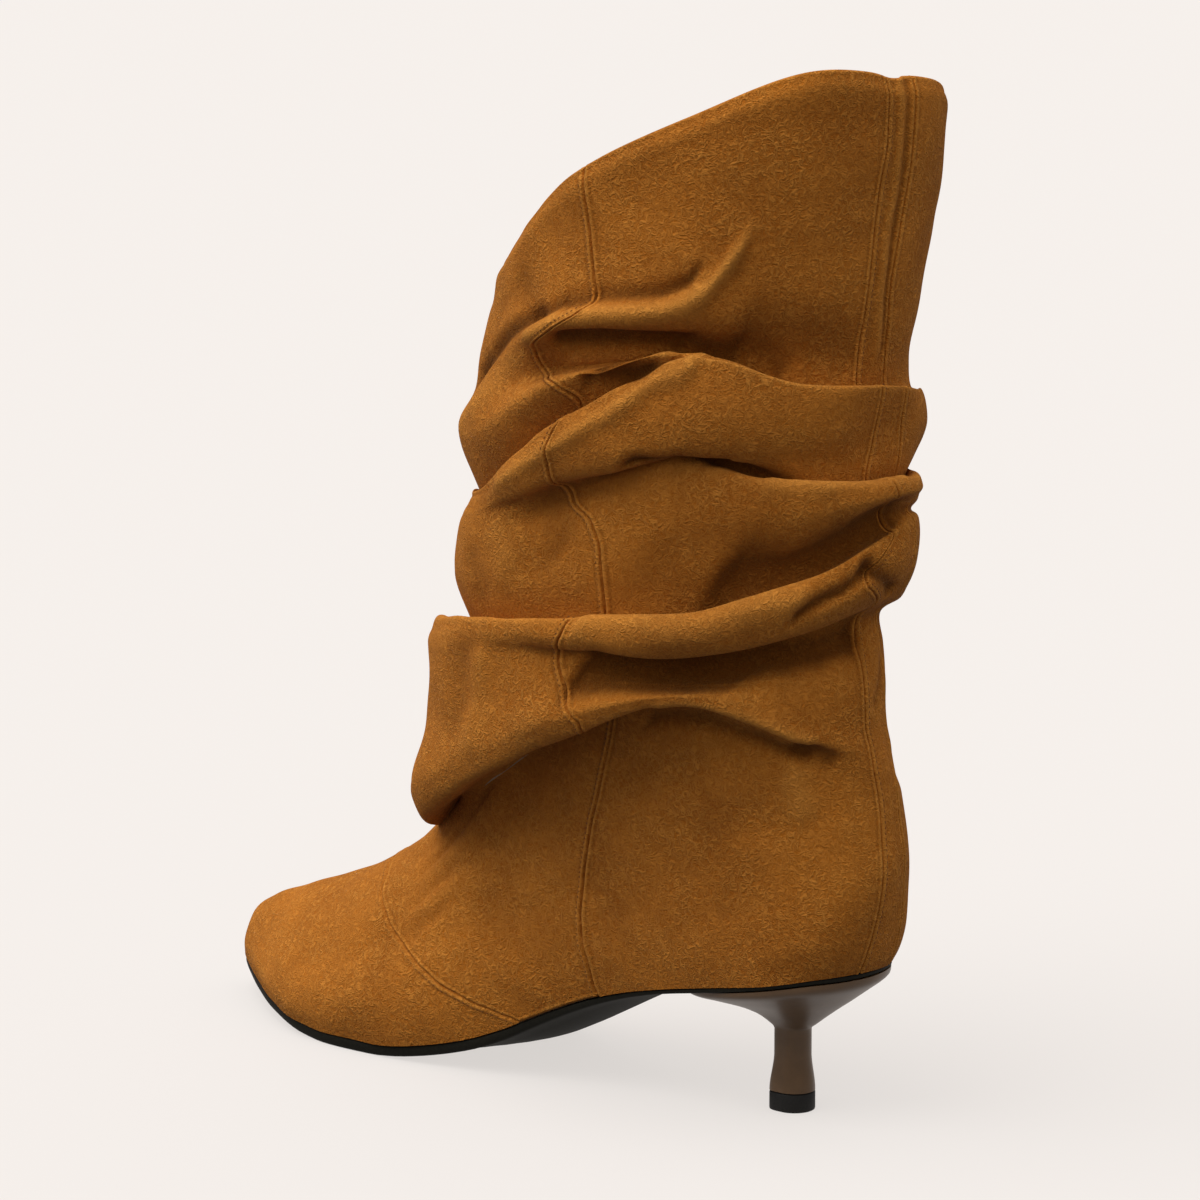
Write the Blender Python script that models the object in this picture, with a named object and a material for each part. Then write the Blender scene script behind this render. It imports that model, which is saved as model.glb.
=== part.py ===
"""Slouch boot for the left foot: pointed last, folded suede shaft, slim mid heel.

Metres, +X towards the toe, +Y towards the outer side, +Z up.
The last is worked out with its heel at x = 0 and then set over the middle of its box.
"""
import bpy
import bmesh
import numpy as np

for item in list(bpy.data.objects):
    bpy.data.objects.remove(item, do_unlink=True)

# The last
SOLE_LENGTH = 0.258
BALL_HALF_WIDTH = 0.0388
SEAT_RISE = 0.0446        # feather line at the back, above the feather line at the ball
TOE_SPRING = 0.0095
TOE_TURN = 0.005          # how far the tip turns in
VAMP_RISE = 0.0790        # top of the vamp under the shaft, above the feather line
VAMP_REACH = 0.150        # where the shaft's front stands on the vamp
ANKLE_HALF_WIDTH = 0.036
WALL = 0.0017
GAP = 0.0003

# The shaft
BOOT_HEIGHT = 0.317       # to the collar at the back
SHAFT_MIDDLE = 0.071      # forward of the heel's back
SHAFT_HALF_LENGTH = 0.076
SHAFT_HALF_WIDTH_OUT = 0.054
SHAFT_HALF_WIDTH_IN = 0.050
FOLD_REACH = 0.010
STRIP_HALF_WIDTH = 0.0065
STRIP_RISE = 0.0005

# Sole, heel, top lift and insole
SOLE_THICKNESS = 0.0034
SEAT_THICKNESS = 0.0014
SOLE_INSET = 0.0004
INSOLE_THICKNESS = 0.0016
INSOLE_INSET = 0.0032
CUP_LENGTH = 0.062
STEM_PLACE = 0.0285       # forward of the heel's back
STEM_TOP = 0.0254
STEM_HALF_WIDTH = 0.0052
LIFT_HALF_WIDTH = 0.0064
LIFT_HEIGHT = 0.0058

AROUND = 48
OUTLINE = 40
HEEL_AROUND = 28
RING_STEP = 0.0075        # rings further apart than this get one more between them
CLOSEST_RINGS = 0.002

# Rise of the feather line behind the ball: share of length, share of SEAT_RISE
ARCH = ((0, 1), (0.023, 0.988), (0.058, 0.95), (0.112, 0.888), (0.17, 0.824), (0.244, 0.74), (0.314, 0.63),
        (0.372, 0.504), (0.419, 0.379), (0.465, 0.249), (0.512, 0.146), (0.574, 0.057), (0.62, 0.014),
        (0.65, 0), (1, 0))
# Rise in front of the ball: share of length, share of TOE_SPRING
SPRING = ((0, 0), (0.73, 0), (0.767, 0.07), (0.833, 0.33), (0.899, 0.62), (0.954, 0.84), (1, 1))
# Outline of the last: share of length, share of BALL_HALF_WIDTH
OUTER_EDGE = ((0, 0), (0.006, 0.245), (0.019, 0.412), (0.047, 0.567), (0.097, 0.686), (0.174, 0.706),
              (0.291, 0.691), (0.388, 0.737), (0.504, 0.866), (0.62, 0.974), (0.702, 1), (0.775, 0.948),
              (0.845, 0.789), (0.903, 0.577), (0.946, 0.387), (0.977, 0.232), (0.994, 0.103), (1, 0))
INNER_EDGE = ((0, 0), (0.006, 0.245), (0.019, 0.412), (0.047, 0.562), (0.097, 0.67), (0.174, 0.66),
              (0.291, 0.577), (0.388, 0.582), (0.504, 0.732), (0.62, 0.912), (0.721, 0.985), (0.791, 0.938),
              (0.853, 0.763), (0.907, 0.552), (0.95, 0.371), (0.977, 0.227), (0.994, 0.103), (1, 0))
# Ridge of the vamp above the feather line: share of length, share of VAMP_RISE
RIDGE = ((0.465, 1.28), (0.512, 1.17), (0.562, 1.052), (0.601, 0.942), (0.64, 0.849), (0.678, 0.762),
         (0.717, 0.673), (0.764, 0.58), (0.849, 0.43), (0.915, 0.319), (0.957, 0.241), (0.981, 0.176),
         (0.996, 0.084), (1, 0))
# Back of the heel: share of BOOT_HEIGHT, share of length that it stands out
HEEL_BACK = ((0.152, 0.006), (0.164, 0.014), (0.183, 0.0217), (0.2145, 0.0295), (0.252, 0.0333),
             (0.29, 0.0295), (0.35, 0.0194), (0.391, 0.0136))
# Rings of the foot: rise at the back as a share of BOOT_HEIGHT, front as a share of length
FOOT_RINGS = ((0, 1), (0.0117, 0.9973), (0.0306, 0.9845), (0.0527, 0.9496), (0.0779, 0.8915),
              (0.1063, 0.8178), (0.1347, 0.7442), (0.1662, 0.6822))

# Rings of the shaft, one row for each fold, edge or hollow between two folds.
# Places round the shaft, in degrees: back 0, outer side 90, front 180, inner side 270.
PLACES = (0, 30, 60, 90, 120, 150, 180, 230, 280, 330)
# name, heights in hundredths of BOOT_HEIGHT, reaches in hundredths of FOLD_REACH
FOLDS = (
    ("neck", (35.3, 37.9, 43.8, 40.1, 33.8, 27.4, 24.9, 28.7, 34.1, 34.7),
     (0, -30, -80, -120, -120, 10, 70, -60, -120, -90)),
    ("lip of the low fold", (36.9, 38.8, 42, 37.5, 31.5, 25.9, 22.2, 26.5, 34.1, 36),
     (-10, 0, 10, 30, 70, 130, 145, 10, -60, -80)),
    ("turn of the low fold", (38.5, 40.4, 42.7, 39.1, 33, 27.8, 24, 28.4, 36, 37.5),
     (-20, -10, 30, 70, 100, 170, 175, 40, -40, -90)),
    ("low fold", (43.2, 43.8, 44, 42.9, 39.1, 34.4, 32.8, 35.3, 40.4, 42.6),
     (-30, -30, -10, 50, 90, 120, 110, 10, -40, -100)),
    ("top of the low fold", (46.4, 46.4, 45.4, 44.8, 43.2, 40.1, 37.9, 41, 44.8, 46.1),
     (-50, -60, -40, 40, 95, 110, 100, 0, -30, -90)),
    ("hollow under the roll", (49.2, 48.9, 46.7, 45.9, 44.5, 41.6, 39.1, 42.3, 46.4, 48.6),
     (-70, -80, -55, 40, 97, 110, 100, -20, -40, -90)),
    ("underside of the roll", (51.1, 48.9, 46.4, 46.4, 45.4, 42.6, 40.1, 42.9, 47.3, 49.8),
     (0, 20, 40, 70, 97, 110, 100, 10, 0, -30)),
    ("roll", (53.9, 51.1, 48.3, 47.6, 46.4, 43.5, 41, 44.8, 49.8, 53),
     (60, 70, 90, 90, 93, 100, 90, 30, 30, 0)),
    ("lip of the roll", (58, 54.3, 50.8, 49.2, 47.2, 45, 42.3, 46.7, 53, 57.4),
     (60, 60, 60, 70, 73, 70, 60, 20, 30, 10)),
    ("pocket behind the roll", (59, 53.9, 49.8, 47.9, 45.7, 43.5, 41.6, 46.1, 53.6, 58),
     (30, 0, 0, 0, 0, -20, -30, -40, -10, -10)),
    ("middle fold", (60.3, 57.1, 55.2, 53, 50.8, 49.2, 47.9, 51.1, 56.2, 59.3),
     (50, 20, 0, 10, 47, 30, 20, 20, 20, 10)),
    ("top of the middle fold", (61.8, 60.9, 60.9, 58, 53.9, 52.7, 51.1, 54.6, 59, 61.2),
     (90, 60, 10, 10, 52, 20, 0, 20, 40, 0)),
    ("lip of the middle fold", (62.8, 63.1, 64.4, 60.6, 55.8, 54.9, 53, 56.5, 60.6, 62.1),
     (60, 40, 0, -10, 50, 0, -50, -10, 20, -10)),
    ("pocket behind the middle fold", (62.1, 62.1, 65.6, 61.5, 57.1, 55.8, 54.3, 57.1, 59.9, 61.5),
     (-10, -10, -40, 0, 48, -20, -60, -40, -30, -20)),
    ("underside of the high fold", (64, 64.4, 64.7, 62.1, 57.9, 56.2, 54.3, 57.4, 61.8, 63.4),
     (-10, 0, 40, 60, 44, -30, -50, 0, 20, 10)),
    ("high fold", (67.8, 68.1, 69.1, 65.3, 59, 56.9, 55.2, 59.6, 64.7, 66.6),
     (0, 40, 80, 90, 34, -40, -50, 30, 40, 45)),
    ("lip of the high fold", (71.3, 72.2, 74.4, 67.8, 59.5, 57.4, 56.2, 62.1, 67.8, 69.7),
     (20, 40, 50, 70, 15, -40, -50, 20, 20, 25)),
    ("pocket behind the high fold", (71.3, 72.2, 74.4, 67.2, 58.5, 56.5, 55.5, 61.2, 66.6, 69.4),
     (0, 20, 40, 10, -40, -60, -80, -40, -30, 5)),
    ("front lobe", (70.7, 71.9, 75.1, 71.6, 65, 62.5, 61.2, 65.6, 70.3, 72.6),
     (-50, -20, 30, 70, 35, 10, 10, 30, 20, -10)),
    ("hollow above the lobe", (73.2, 72.2, 74.1, 72.6, 69.7, 67.5, 66.2, 69.7, 74.1, 76.3),
     (-50, -60, -60, -30, -4, -30, -50, -20, -10, 10)),
    ("soft top roll", (80.4, 79.5, 78.5, 76.7, 73.8, 71.3, 70, 73.8, 78.9, 81.4),
     (-20, -30, 20, 60, -17, -60, -80, 0, 20, 40)),
    ("hollow above the top roll", (85.8, 85.2, 82.3, 80.1, 76.7, 73.8, 72.9, 77, 82.3, 85.2),
     (-10, -10, 10, 20, -35, -80, -100, -10, 20, 60)),
    ("top panel", (93.1, 93.4, 89.9, 84.9, 78.5, 75.7, 75.1, 80.4, 87.4, 92.1),
     (10, 0, 0, 0, -40, -110, -130, -10, 30, 90)),
    ("collar", (100, 100.6, 96.5, 90.5, 82, 78.5, 77.6, 83.6, 93.1, 98.4),
     (20, 10, 0, 10, -50, -130, -150, -10, 40, 100)),
)

# Heel under the cup: share of the way out from stem to seat, share of the drop behind, in front
HEEL_RINGS = ((1, 0, 0), (0.99, 0.09, 0.1), (0.9, 0.2, 0.16), (0.74, 0.34, 0.22), (0.56, 0.5, 0.3),
              (0.38, 0.65, 0.4), (0.22, 0.79, 0.55), (0.1, 0.9, 0.74), (0.03, 0.96, 0.88), (0, 1, 1))


def curve(table):
    """A smooth line through the rows of a table that never swings past them."""
    x, y = (np.array(column, float) for column in zip(*table))
    step = np.diff(x)
    slope = np.diff(y) / step
    lean = np.zeros_like(y)
    lean[0], lean[-1] = slope[0], slope[-1]
    for i in range(1, len(x) - 1):
        if slope[i - 1] * slope[i] > 0:
            near, far = 2 * step[i] + step[i - 1], step[i] + 2 * step[i - 1]
            lean[i] = (near + far) / (near / slope[i - 1] + far / slope[i])

    def read(at):
        at = np.clip(np.asarray(at, float), x[0], x[-1])
        i = np.clip(np.searchsorted(x, at, side="right") - 1, 0, len(x) - 2)
        return blend((at - x[i]) / step[i], y[i], y[i + 1], lean[i] * step[i], lean[i + 1] * step[i])

    return read


def blend(u, start, end, lean_start, lean_end):
    return ((1 + 2 * u) * (1 - u) ** 2 * start + u * (1 - u) ** 2 * lean_start
            + u * u * (3 - 2 * u) * end + u * u * (u - 1) * lean_end)


def ease(u):
    u = np.clip(u, 0, 1)
    return u * u * (3 - 2 * u)


def edge(table):
    """A half outline, read along the angle of its length, so that both ends come out round."""
    read = curve([(np.arccos(1 - 2 * share), width) for share, width in table])
    return lambda x: BALL_HALF_WIDTH * read(np.arccos(np.clip(1 - 2 * x / SOLE_LENGTH, -1, 1)))


arch = curve(ARCH)
spring = curve(SPRING)
outer_edge = edge(OUTER_EDGE)
inner_edge = edge(INNER_EDGE)
ridge = curve(RIDGE)
heel_back = curve(HEEL_BACK)


def feather(x):
    """Height of the line where the upper meets the sole."""
    share = x / SOLE_LENGTH
    return SOLE_THICKNESS + GAP + SEAT_RISE * arch(share) + TOE_SPRING * spring(share)


def half_width(x, side):
    return np.where(side >= 0, outer_edge(x), inner_edge(x))


def middle(x):
    """The line down the middle of the last turns in at the toe."""
    start = 0.58 * SOLE_LENGTH
    return -TOE_TURN * np.clip((x - start) / (SOLE_LENGTH - start), 0, 1) ** 2


def full_rise(x):
    """Rise of the foot above the feather line: the ankle behind, the vamp's ridge in front."""
    neck = FOLDS[0][1][0] / 100 * BOOT_HEIGHT - feather(np.zeros(1))[0]
    behind = neck + (VAMP_RISE - neck) * np.clip(x / VAMP_REACH, 0, 1)
    front = ease((x - 0.92 * VAMP_REACH) / (0.16 * VAMP_REACH))
    return behind * (1 - front) + VAMP_RISE * ridge(x / SOLE_LENGTH) * front


def foot_ring(row, degrees):
    back_rise, front = FOOT_RINGS[row][0] * BOOT_HEIGHT, FOOT_RINGS[row][1] * SOLE_LENGTH
    angle = np.radians(degrees)
    side = np.sin(angle)
    x = front * (1 - np.cos(angle)) / 2
    front_rise = full_rise(np.array([front]))[0] if row else 0
    rise = back_rise + (front_rise - back_rise) * (x / front) ** 1.15
    share = np.clip(rise / np.maximum(full_rise(x), 1e-6), 0, 1)
    ankle = ANKLE_HALF_WIDTH * np.sqrt(np.clip(1 - (2 * x / VAMP_REACH - 1) ** 2, 0, 1)) * (x < VAMP_REACH)
    swell = 1 + 0.07 * np.sin(np.pi * np.clip(share * 2.2, 0, 1))
    openness = 1 - ease((x - 0.63 * VAMP_REACH) / (0.33 * VAMP_REACH))
    keep = (1 - share) * openness + (1 - share ** 1.9) ** 0.6 * (1 - openness)
    width = ankle + (half_width(x, side) * swell - ankle) * keep
    z = feather(x) + rise
    x = x - heel_back(z / BOOT_HEIGHT) * SOLE_LENGTH * (1 - ease(x / (0.27 * SOLE_LENGTH)))
    return np.stack([x, np.where(side >= 0, width, -width) + middle(front * (1 - np.cos(angle)) / 2), z], -1)


def round_table(values, degrees):
    """A closed smooth line through one value at each of PLACES."""
    at = np.array(PLACES, float)
    known = np.array(values, float)
    at = np.concatenate([at[-3:] - 360, at, at[:3] + 360])
    known = np.concatenate([known[-3:], known, known[:3]])
    step, slope = np.diff(at), np.diff(known) / np.diff(at)
    lean = np.zeros_like(known)
    lean[1:-1] = (slope[:-1] * step[1:] + slope[1:] * step[:-1]) / (step[:-1] + step[1:])
    turned = np.mod(degrees, 360.0)
    i = np.clip(np.searchsorted(at, turned, side="right") - 1, 1, len(at) - 3)
    return blend((turned - at[i]) / step[i], known[i], known[i + 1], lean[i] * step[i], lean[i + 1] * step[i])


def shaft_ring(row, degrees):
    _, heights, reaches = FOLDS[row]
    angle = np.radians(degrees)
    out = round_table(reaches, degrees) / 100 * FOLD_REACH
    half = np.where(np.sin(angle) >= 0, SHAFT_HALF_WIDTH_OUT, SHAFT_HALF_WIDTH_IN)
    nx, ny = -np.cos(angle) / SHAFT_HALF_LENGTH, np.sin(angle) / half
    size = np.hypot(nx, ny)
    x = SHAFT_MIDDLE - SHAFT_HALF_LENGTH * np.cos(angle) + out * nx / size
    y = half * np.sin(angle) + out * ny / size
    return np.stack([x, y, round_table(heights, degrees) / 100 * BOOT_HEIGHT], -1)


def all_rings(degrees):
    rings = [foot_ring(row, degrees) for row in range(len(FOOT_RINGS))]
    rings += [shaft_ring(row, degrees) for row in range(len(FOLDS))]
    return np.array(rings)


def ring_places():
    """Where each ring lies along the leather, as a number that grows with the mean distance."""
    rings = all_rings(np.arange(0, 360, 10.0))
    apart = np.linalg.norm(np.diff(rings, axis=0), axis=-1).mean(1)
    return np.concatenate([[0], np.cumsum(np.maximum(apart, CLOSEST_RINGS) ** 0.8)])


def leather(places, degrees, known):
    """Points of the upper's outer face on a grid of places up the leather and degrees round it."""
    rings = all_rings(degrees)
    step = np.diff(known)[:, None, None]
    slope = np.diff(rings, axis=0) / step
    lean = np.zeros_like(rings)
    lean[0], lean[-1] = slope[0], slope[-1]
    lean[1:-1] = (slope[:-1] * step[1:] + slope[1:] * step[:-1]) / (step[:-1] + step[1:])
    i = np.clip(np.searchsorted(known, places, side="right") - 1, 0, len(known) - 2)
    u = ((places - known[i]) / (known[i + 1] - known[i]))[:, None, None]
    return blend(u, rings[i], rings[i + 1], lean[i] * step[i], lean[i + 1] * step[i])


def unit(vectors):
    return vectors / np.maximum(np.linalg.norm(vectors, axis=-1, keepdims=True), 1e-12)


def upper_faces():
    """Outer and inner points of the hollow upper, ring by ring."""
    known = ring_places()
    places = []
    for i in range(len(known) - 1):
        parts = 2 if known[i + 1] - known[i] > RING_STEP ** 0.8 else 1
        places += [known[i] + (known[i + 1] - known[i]) * k / parts for k in range(parts)]
    places = np.array(places + [known[-1]])
    strip = np.degrees(STRIP_HALF_WIDTH / SHAFT_HALF_WIDTH_OUT)
    rest = np.linspace(strip + 5, 355 - strip, AROUND - 5)
    degrees = np.concatenate([[0, strip - 1, strip + 0.5], rest, [359.5 - strip, 361 - strip]])
    outer = leather(places, degrees, known)
    small = 1e-3 * known[-1]
    up = leather(np.clip(places + small, 0, known[-1]), degrees, known)
    up = up - leather(np.clip(places - small, 0, known[-1]), degrees, known)
    along = leather(places, degrees + 0.5, known) - leather(places, degrees - 0.5, known)
    normal = unit(np.cross(up, along))
    raised = np.where(np.minimum(degrees, 360 - degrees) < strip, STRIP_RISE, 0)[None, :, None]
    inner = outer - normal * WALL
    level = normal[0] * (1, 1, 0)
    inner[0] = outer[0] - unit(level) * WALL
    inner[-1] = outer[-1] - unit(normal[-1] * (1, 1, 0)) * WALL
    return outer + normal * raised, inner


def ring_mesh(name, loops, closed, lids):
    """A body from a list of equal loops: closed joins the last to the first, lids closes both ends.

    A lid runs in strips from each point to the one that mirrors it over the loop's first point.
    """
    mesh = bpy.data.meshes.new(name)
    bm = bmesh.new()
    rows = [[bm.verts.new(point) for point in loop] for loop in loops]
    count = len(rows[0])
    pairs = list(zip(rows[:-1], rows[1:]))
    if closed:
        pairs.append((rows[-1], rows[0]))
    for low, high in pairs:
        for i in range(count):
            j = (i + 1) % count
            bm.faces.new((low[i], low[j], high[j], high[i]))
    if lids:
        for row in (rows[0], rows[-1]):
            bm.faces.new((row[0], row[1], row[-1]))
            half = count // 2
            for i in range(1, half - 1):
                bm.faces.new((row[i], row[i + 1], row[-i - 1], row[-i]))
            bm.faces.new((row[half - 1], row[half], row[half + 1]))
    bmesh.ops.triangulate(bm, faces=[face for face in bm.faces if len(face.verts) > 3])
    bmesh.ops.recalc_face_normals(bm, faces=bm.faces)
    bm.to_mesh(mesh)
    bm.free()
    mesh.shade_smooth()
    mesh.set_sharp_from_angle(angle=np.radians(40))
    piece = bpy.data.objects.new(name, mesh)
    bpy.context.scene.collection.objects.link(piece)
    return piece


def sheet(inset, count):
    """The last's outline, drawn in by inset, with the middle line's turn; and the x of its points."""
    angle = np.linspace(0, 2 * np.pi, count, endpoint=False)
    x = SOLE_LENGTH * (1 - np.cos(angle)) / 2
    side = np.sin(angle)
    width = half_width(x, side) * np.sign(np.round(side, 9))
    outline = np.stack([x - 0.006 * SOLE_LENGTH * (1 - ease(x / (0.27 * SOLE_LENGTH))), width + middle(x)], -1)
    run = np.roll(outline, -1, axis=0) - np.roll(outline, 1, axis=0)
    inward = unit(np.stack([run[:, 1], -run[:, 0]], -1))
    drawn = outline + inward * inset
    return drawn, np.clip(drawn[:, 0], 0, SOLE_LENGTH)


def sole_thickness(x):
    share = ease((x / SOLE_LENGTH - 0.2) / 0.3)
    return SEAT_THICKNESS + (SOLE_THICKNESS - SEAT_THICKNESS) * share


def flat_loop(inset, height):
    points, x = sheet(inset, OUTLINE)
    return np.column_stack([points, height(x)])


def sole_top(x):
    return feather(x) - GAP


def sole_bottom(x):
    return sole_top(x) - sole_thickness(x)


def d_section(half, angle):
    """A stem's section: round behind, nearly flat in front."""
    x, y = -np.cos(angle), np.sin(angle)
    power = np.where(x > 0, 4.0, 2.0)
    size = (np.abs(x) ** power + np.abs(y) ** power) ** (1 / power)
    return STEM_PLACE + half * x / size, half * y / size


def heel_loops():
    """The cup under the seat runs in to the stem, which stands on the top lift."""
    angle = np.linspace(0, 2 * np.pi, HEEL_AROUND, endpoint=False)
    x = CUP_LENGTH * (1 - np.cos(angle)) / 2
    closing = (1 - np.clip(x / CUP_LENGTH, 0, 1) ** 5) ** 0.5
    width = (half_width(x, np.sin(angle)) - SOLE_INSET) * np.sign(np.round(np.sin(angle), 9)) * closing
    seat_x = x - 0.006 * SOLE_LENGTH * (1 - ease(x / (0.27 * SOLE_LENGTH))) + SOLE_INSET
    seat_z = sole_bottom(np.clip(seat_x, 0, SOLE_LENGTH)) - GAP
    stem_x, stem_y = d_section(STEM_HALF_WIDTH, angle)
    front = (1 - np.cos(angle)) / 2
    loops = []
    for out, drop_back, drop_front in HEEL_RINGS:
        drop = drop_back * (1 - front) + drop_front * front
        loops.append(np.column_stack([stem_x + (seat_x - stem_x) * out, stem_y + (width - stem_y) * out,
                                      seat_z + (STEM_TOP - seat_z) * drop]))
    foot = LIFT_HEIGHT + GAP
    for share, half in ((0.5, STEM_HALF_WIDTH), (0.2, 0.6 * STEM_HALF_WIDTH + 0.4 * LIFT_HALF_WIDTH),
                        (0, LIFT_HALF_WIDTH)):
        stem_x, stem_y = d_section(half, angle)
        height = np.full(HEEL_AROUND, foot + (STEM_TOP - foot) * share)
        loops.append(np.column_stack([stem_x, stem_y, height]))
    return loops


def lift_loops():
    angle = np.linspace(0, 2 * np.pi, HEEL_AROUND, endpoint=False)
    loops = []
    for half, height in ((LIFT_HALF_WIDTH, LIFT_HEIGHT), (LIFT_HALF_WIDTH, 0.0)):
        x, y = d_section(half, angle)
        loops.append(np.column_stack([x, y, np.full(HEEL_AROUND, height)]))
    return loops


def material(piece, colour, roughness):
    look = bpy.data.materials.new(piece.name + "_look")
    look.use_nodes = True
    shader = look.node_tree.nodes["Principled BSDF"]
    shader.inputs["Base Color"].default_value = (*colour, 1)
    shader.inputs["Roughness"].default_value = roughness
    shader.inputs["Metallic"].default_value = 0
    piece.data.materials.append(look)


outer_face, inner_face = upper_faces()
pieces = {
    "upper": ring_mesh("upper", list(outer_face) + list(inner_face[::-1]), True, False),
    "outsole": ring_mesh("outsole", [
        flat_loop(SOLE_INSET, sole_top),
        flat_loop(SOLE_INSET, lambda x: sole_bottom(x) + 0.3 * sole_thickness(x)),
        flat_loop(SOLE_INSET + 0.3 * SOLE_THICKNESS, sole_bottom)], False, True),
    "insole": ring_mesh("insole", [
        flat_loop(INSOLE_INSET, lambda x: feather(x) + INSOLE_THICKNESS),
        flat_loop(INSOLE_INSET, feather)], False, True),
    "heel": ring_mesh("heel", heel_loops(), False, True),
    "top_lift": ring_mesh("top_lift", lift_loops(), False, True),
}
material(pieces["upper"], (0.36, 0.17, 0.045), 0.95)
material(pieces["outsole"], (0.02, 0.017, 0.015), 0.45)
material(pieces["insole"], (0.33, 0.2, 0.1), 0.8)
material(pieces["heel"], (0.07, 0.04, 0.025), 0.35)
material(pieces["top_lift"], (0.012, 0.012, 0.012), 0.6)

# The origin lies under the middle of the boot's box.
corners = np.array([vertex.co for piece in pieces.values() for vertex in piece.data.vertices])
centre = (corners.min(0) + corners.max(0)) / 2
for piece in pieces.values():
    piece.location = (-centre[0], -centre[1], 0)
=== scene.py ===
import math

import bpy
import numpy as np
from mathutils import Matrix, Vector


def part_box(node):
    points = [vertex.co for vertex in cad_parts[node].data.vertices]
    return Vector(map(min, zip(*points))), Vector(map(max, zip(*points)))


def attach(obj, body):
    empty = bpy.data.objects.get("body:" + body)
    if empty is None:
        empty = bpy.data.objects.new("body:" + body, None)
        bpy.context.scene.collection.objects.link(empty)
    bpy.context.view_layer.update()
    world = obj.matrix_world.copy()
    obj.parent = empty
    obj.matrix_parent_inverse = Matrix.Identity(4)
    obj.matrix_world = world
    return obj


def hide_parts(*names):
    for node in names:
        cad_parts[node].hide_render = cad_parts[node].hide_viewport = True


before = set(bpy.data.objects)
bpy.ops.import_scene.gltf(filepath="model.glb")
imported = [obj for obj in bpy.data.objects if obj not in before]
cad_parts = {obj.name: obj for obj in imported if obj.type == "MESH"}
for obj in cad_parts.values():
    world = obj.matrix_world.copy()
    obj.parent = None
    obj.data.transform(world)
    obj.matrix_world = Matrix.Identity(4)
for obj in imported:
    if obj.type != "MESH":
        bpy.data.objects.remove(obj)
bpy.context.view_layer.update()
print("frame loaded")

# Sizes of the last and the shaft, in metres, as the solids have them
boot = {
    "soleLength": 0.258, "ballHalfWidth": 0.0388, "seatRise": 0.0446, "toeSpring": 0.0095, "toeTurn": 0.005,
    "vampRise": 0.079, "vampReach": 0.150, "ankleHalfWidth": 0.036, "wall": 0.0017, "gap": 0.0003,
    "height": 0.317, "shaftMiddle": 0.071, "shaftHalfLength": 0.076, "shaftHalfWidthOut": 0.054,
    "shaftHalfWidthIn": 0.050, "foldReach": 0.010, "soleThickness": 0.0034, "seatThickness": 0.0014,
}

archRows = ((0, 1), (0.023, 0.988), (0.058, 0.95), (0.112, 0.888), (0.17, 0.824), (0.244, 0.74), (0.314, 0.63),
            (0.372, 0.504), (0.419, 0.379), (0.465, 0.249), (0.512, 0.146), (0.574, 0.057), (0.62, 0.014),
            (0.65, 0), (1, 0))
springRows = ((0, 0), (0.73, 0), (0.767, 0.07), (0.833, 0.33), (0.899, 0.62), (0.954, 0.84), (1, 1))
outerEdgeRows = ((0, 0), (0.006, 0.245), (0.019, 0.412), (0.047, 0.567), (0.097, 0.686), (0.174, 0.706),
                 (0.291, 0.691), (0.388, 0.737), (0.504, 0.866), (0.62, 0.974), (0.702, 1), (0.775, 0.948),
                 (0.845, 0.789), (0.903, 0.577), (0.946, 0.387), (0.977, 0.232), (0.994, 0.103), (1, 0))
innerEdgeRows = ((0, 0), (0.006, 0.245), (0.019, 0.412), (0.047, 0.562), (0.097, 0.67), (0.174, 0.66),
                 (0.291, 0.577), (0.388, 0.582), (0.504, 0.732), (0.62, 0.912), (0.721, 0.985), (0.791, 0.938),
                 (0.853, 0.763), (0.907, 0.552), (0.95, 0.371), (0.977, 0.227), (0.994, 0.103), (1, 0))
ridgeRows = ((0.465, 1.28), (0.512, 1.17), (0.562, 1.052), (0.601, 0.942), (0.64, 0.849), (0.678, 0.762),
             (0.717, 0.673), (0.764, 0.58), (0.849, 0.43), (0.915, 0.319), (0.957, 0.241), (0.981, 0.176),
             (0.996, 0.084), (1, 0))
heelBackRows = ((0.152, 0.006), (0.164, 0.014), (0.183, 0.0217), (0.2145, 0.0295), (0.252, 0.0333),
                (0.29, 0.0295), (0.35, 0.0194), (0.391, 0.0136))
footRings = ((0, 1), (0.0117, 0.9973), (0.0306, 0.9845), (0.0527, 0.9496), (0.0779, 0.8915),
             (0.1063, 0.8178), (0.1347, 0.7442), (0.1662, 0.6822))
places = (0, 30, 60, 90, 120, 150, 180, 230, 280, 330)
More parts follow.
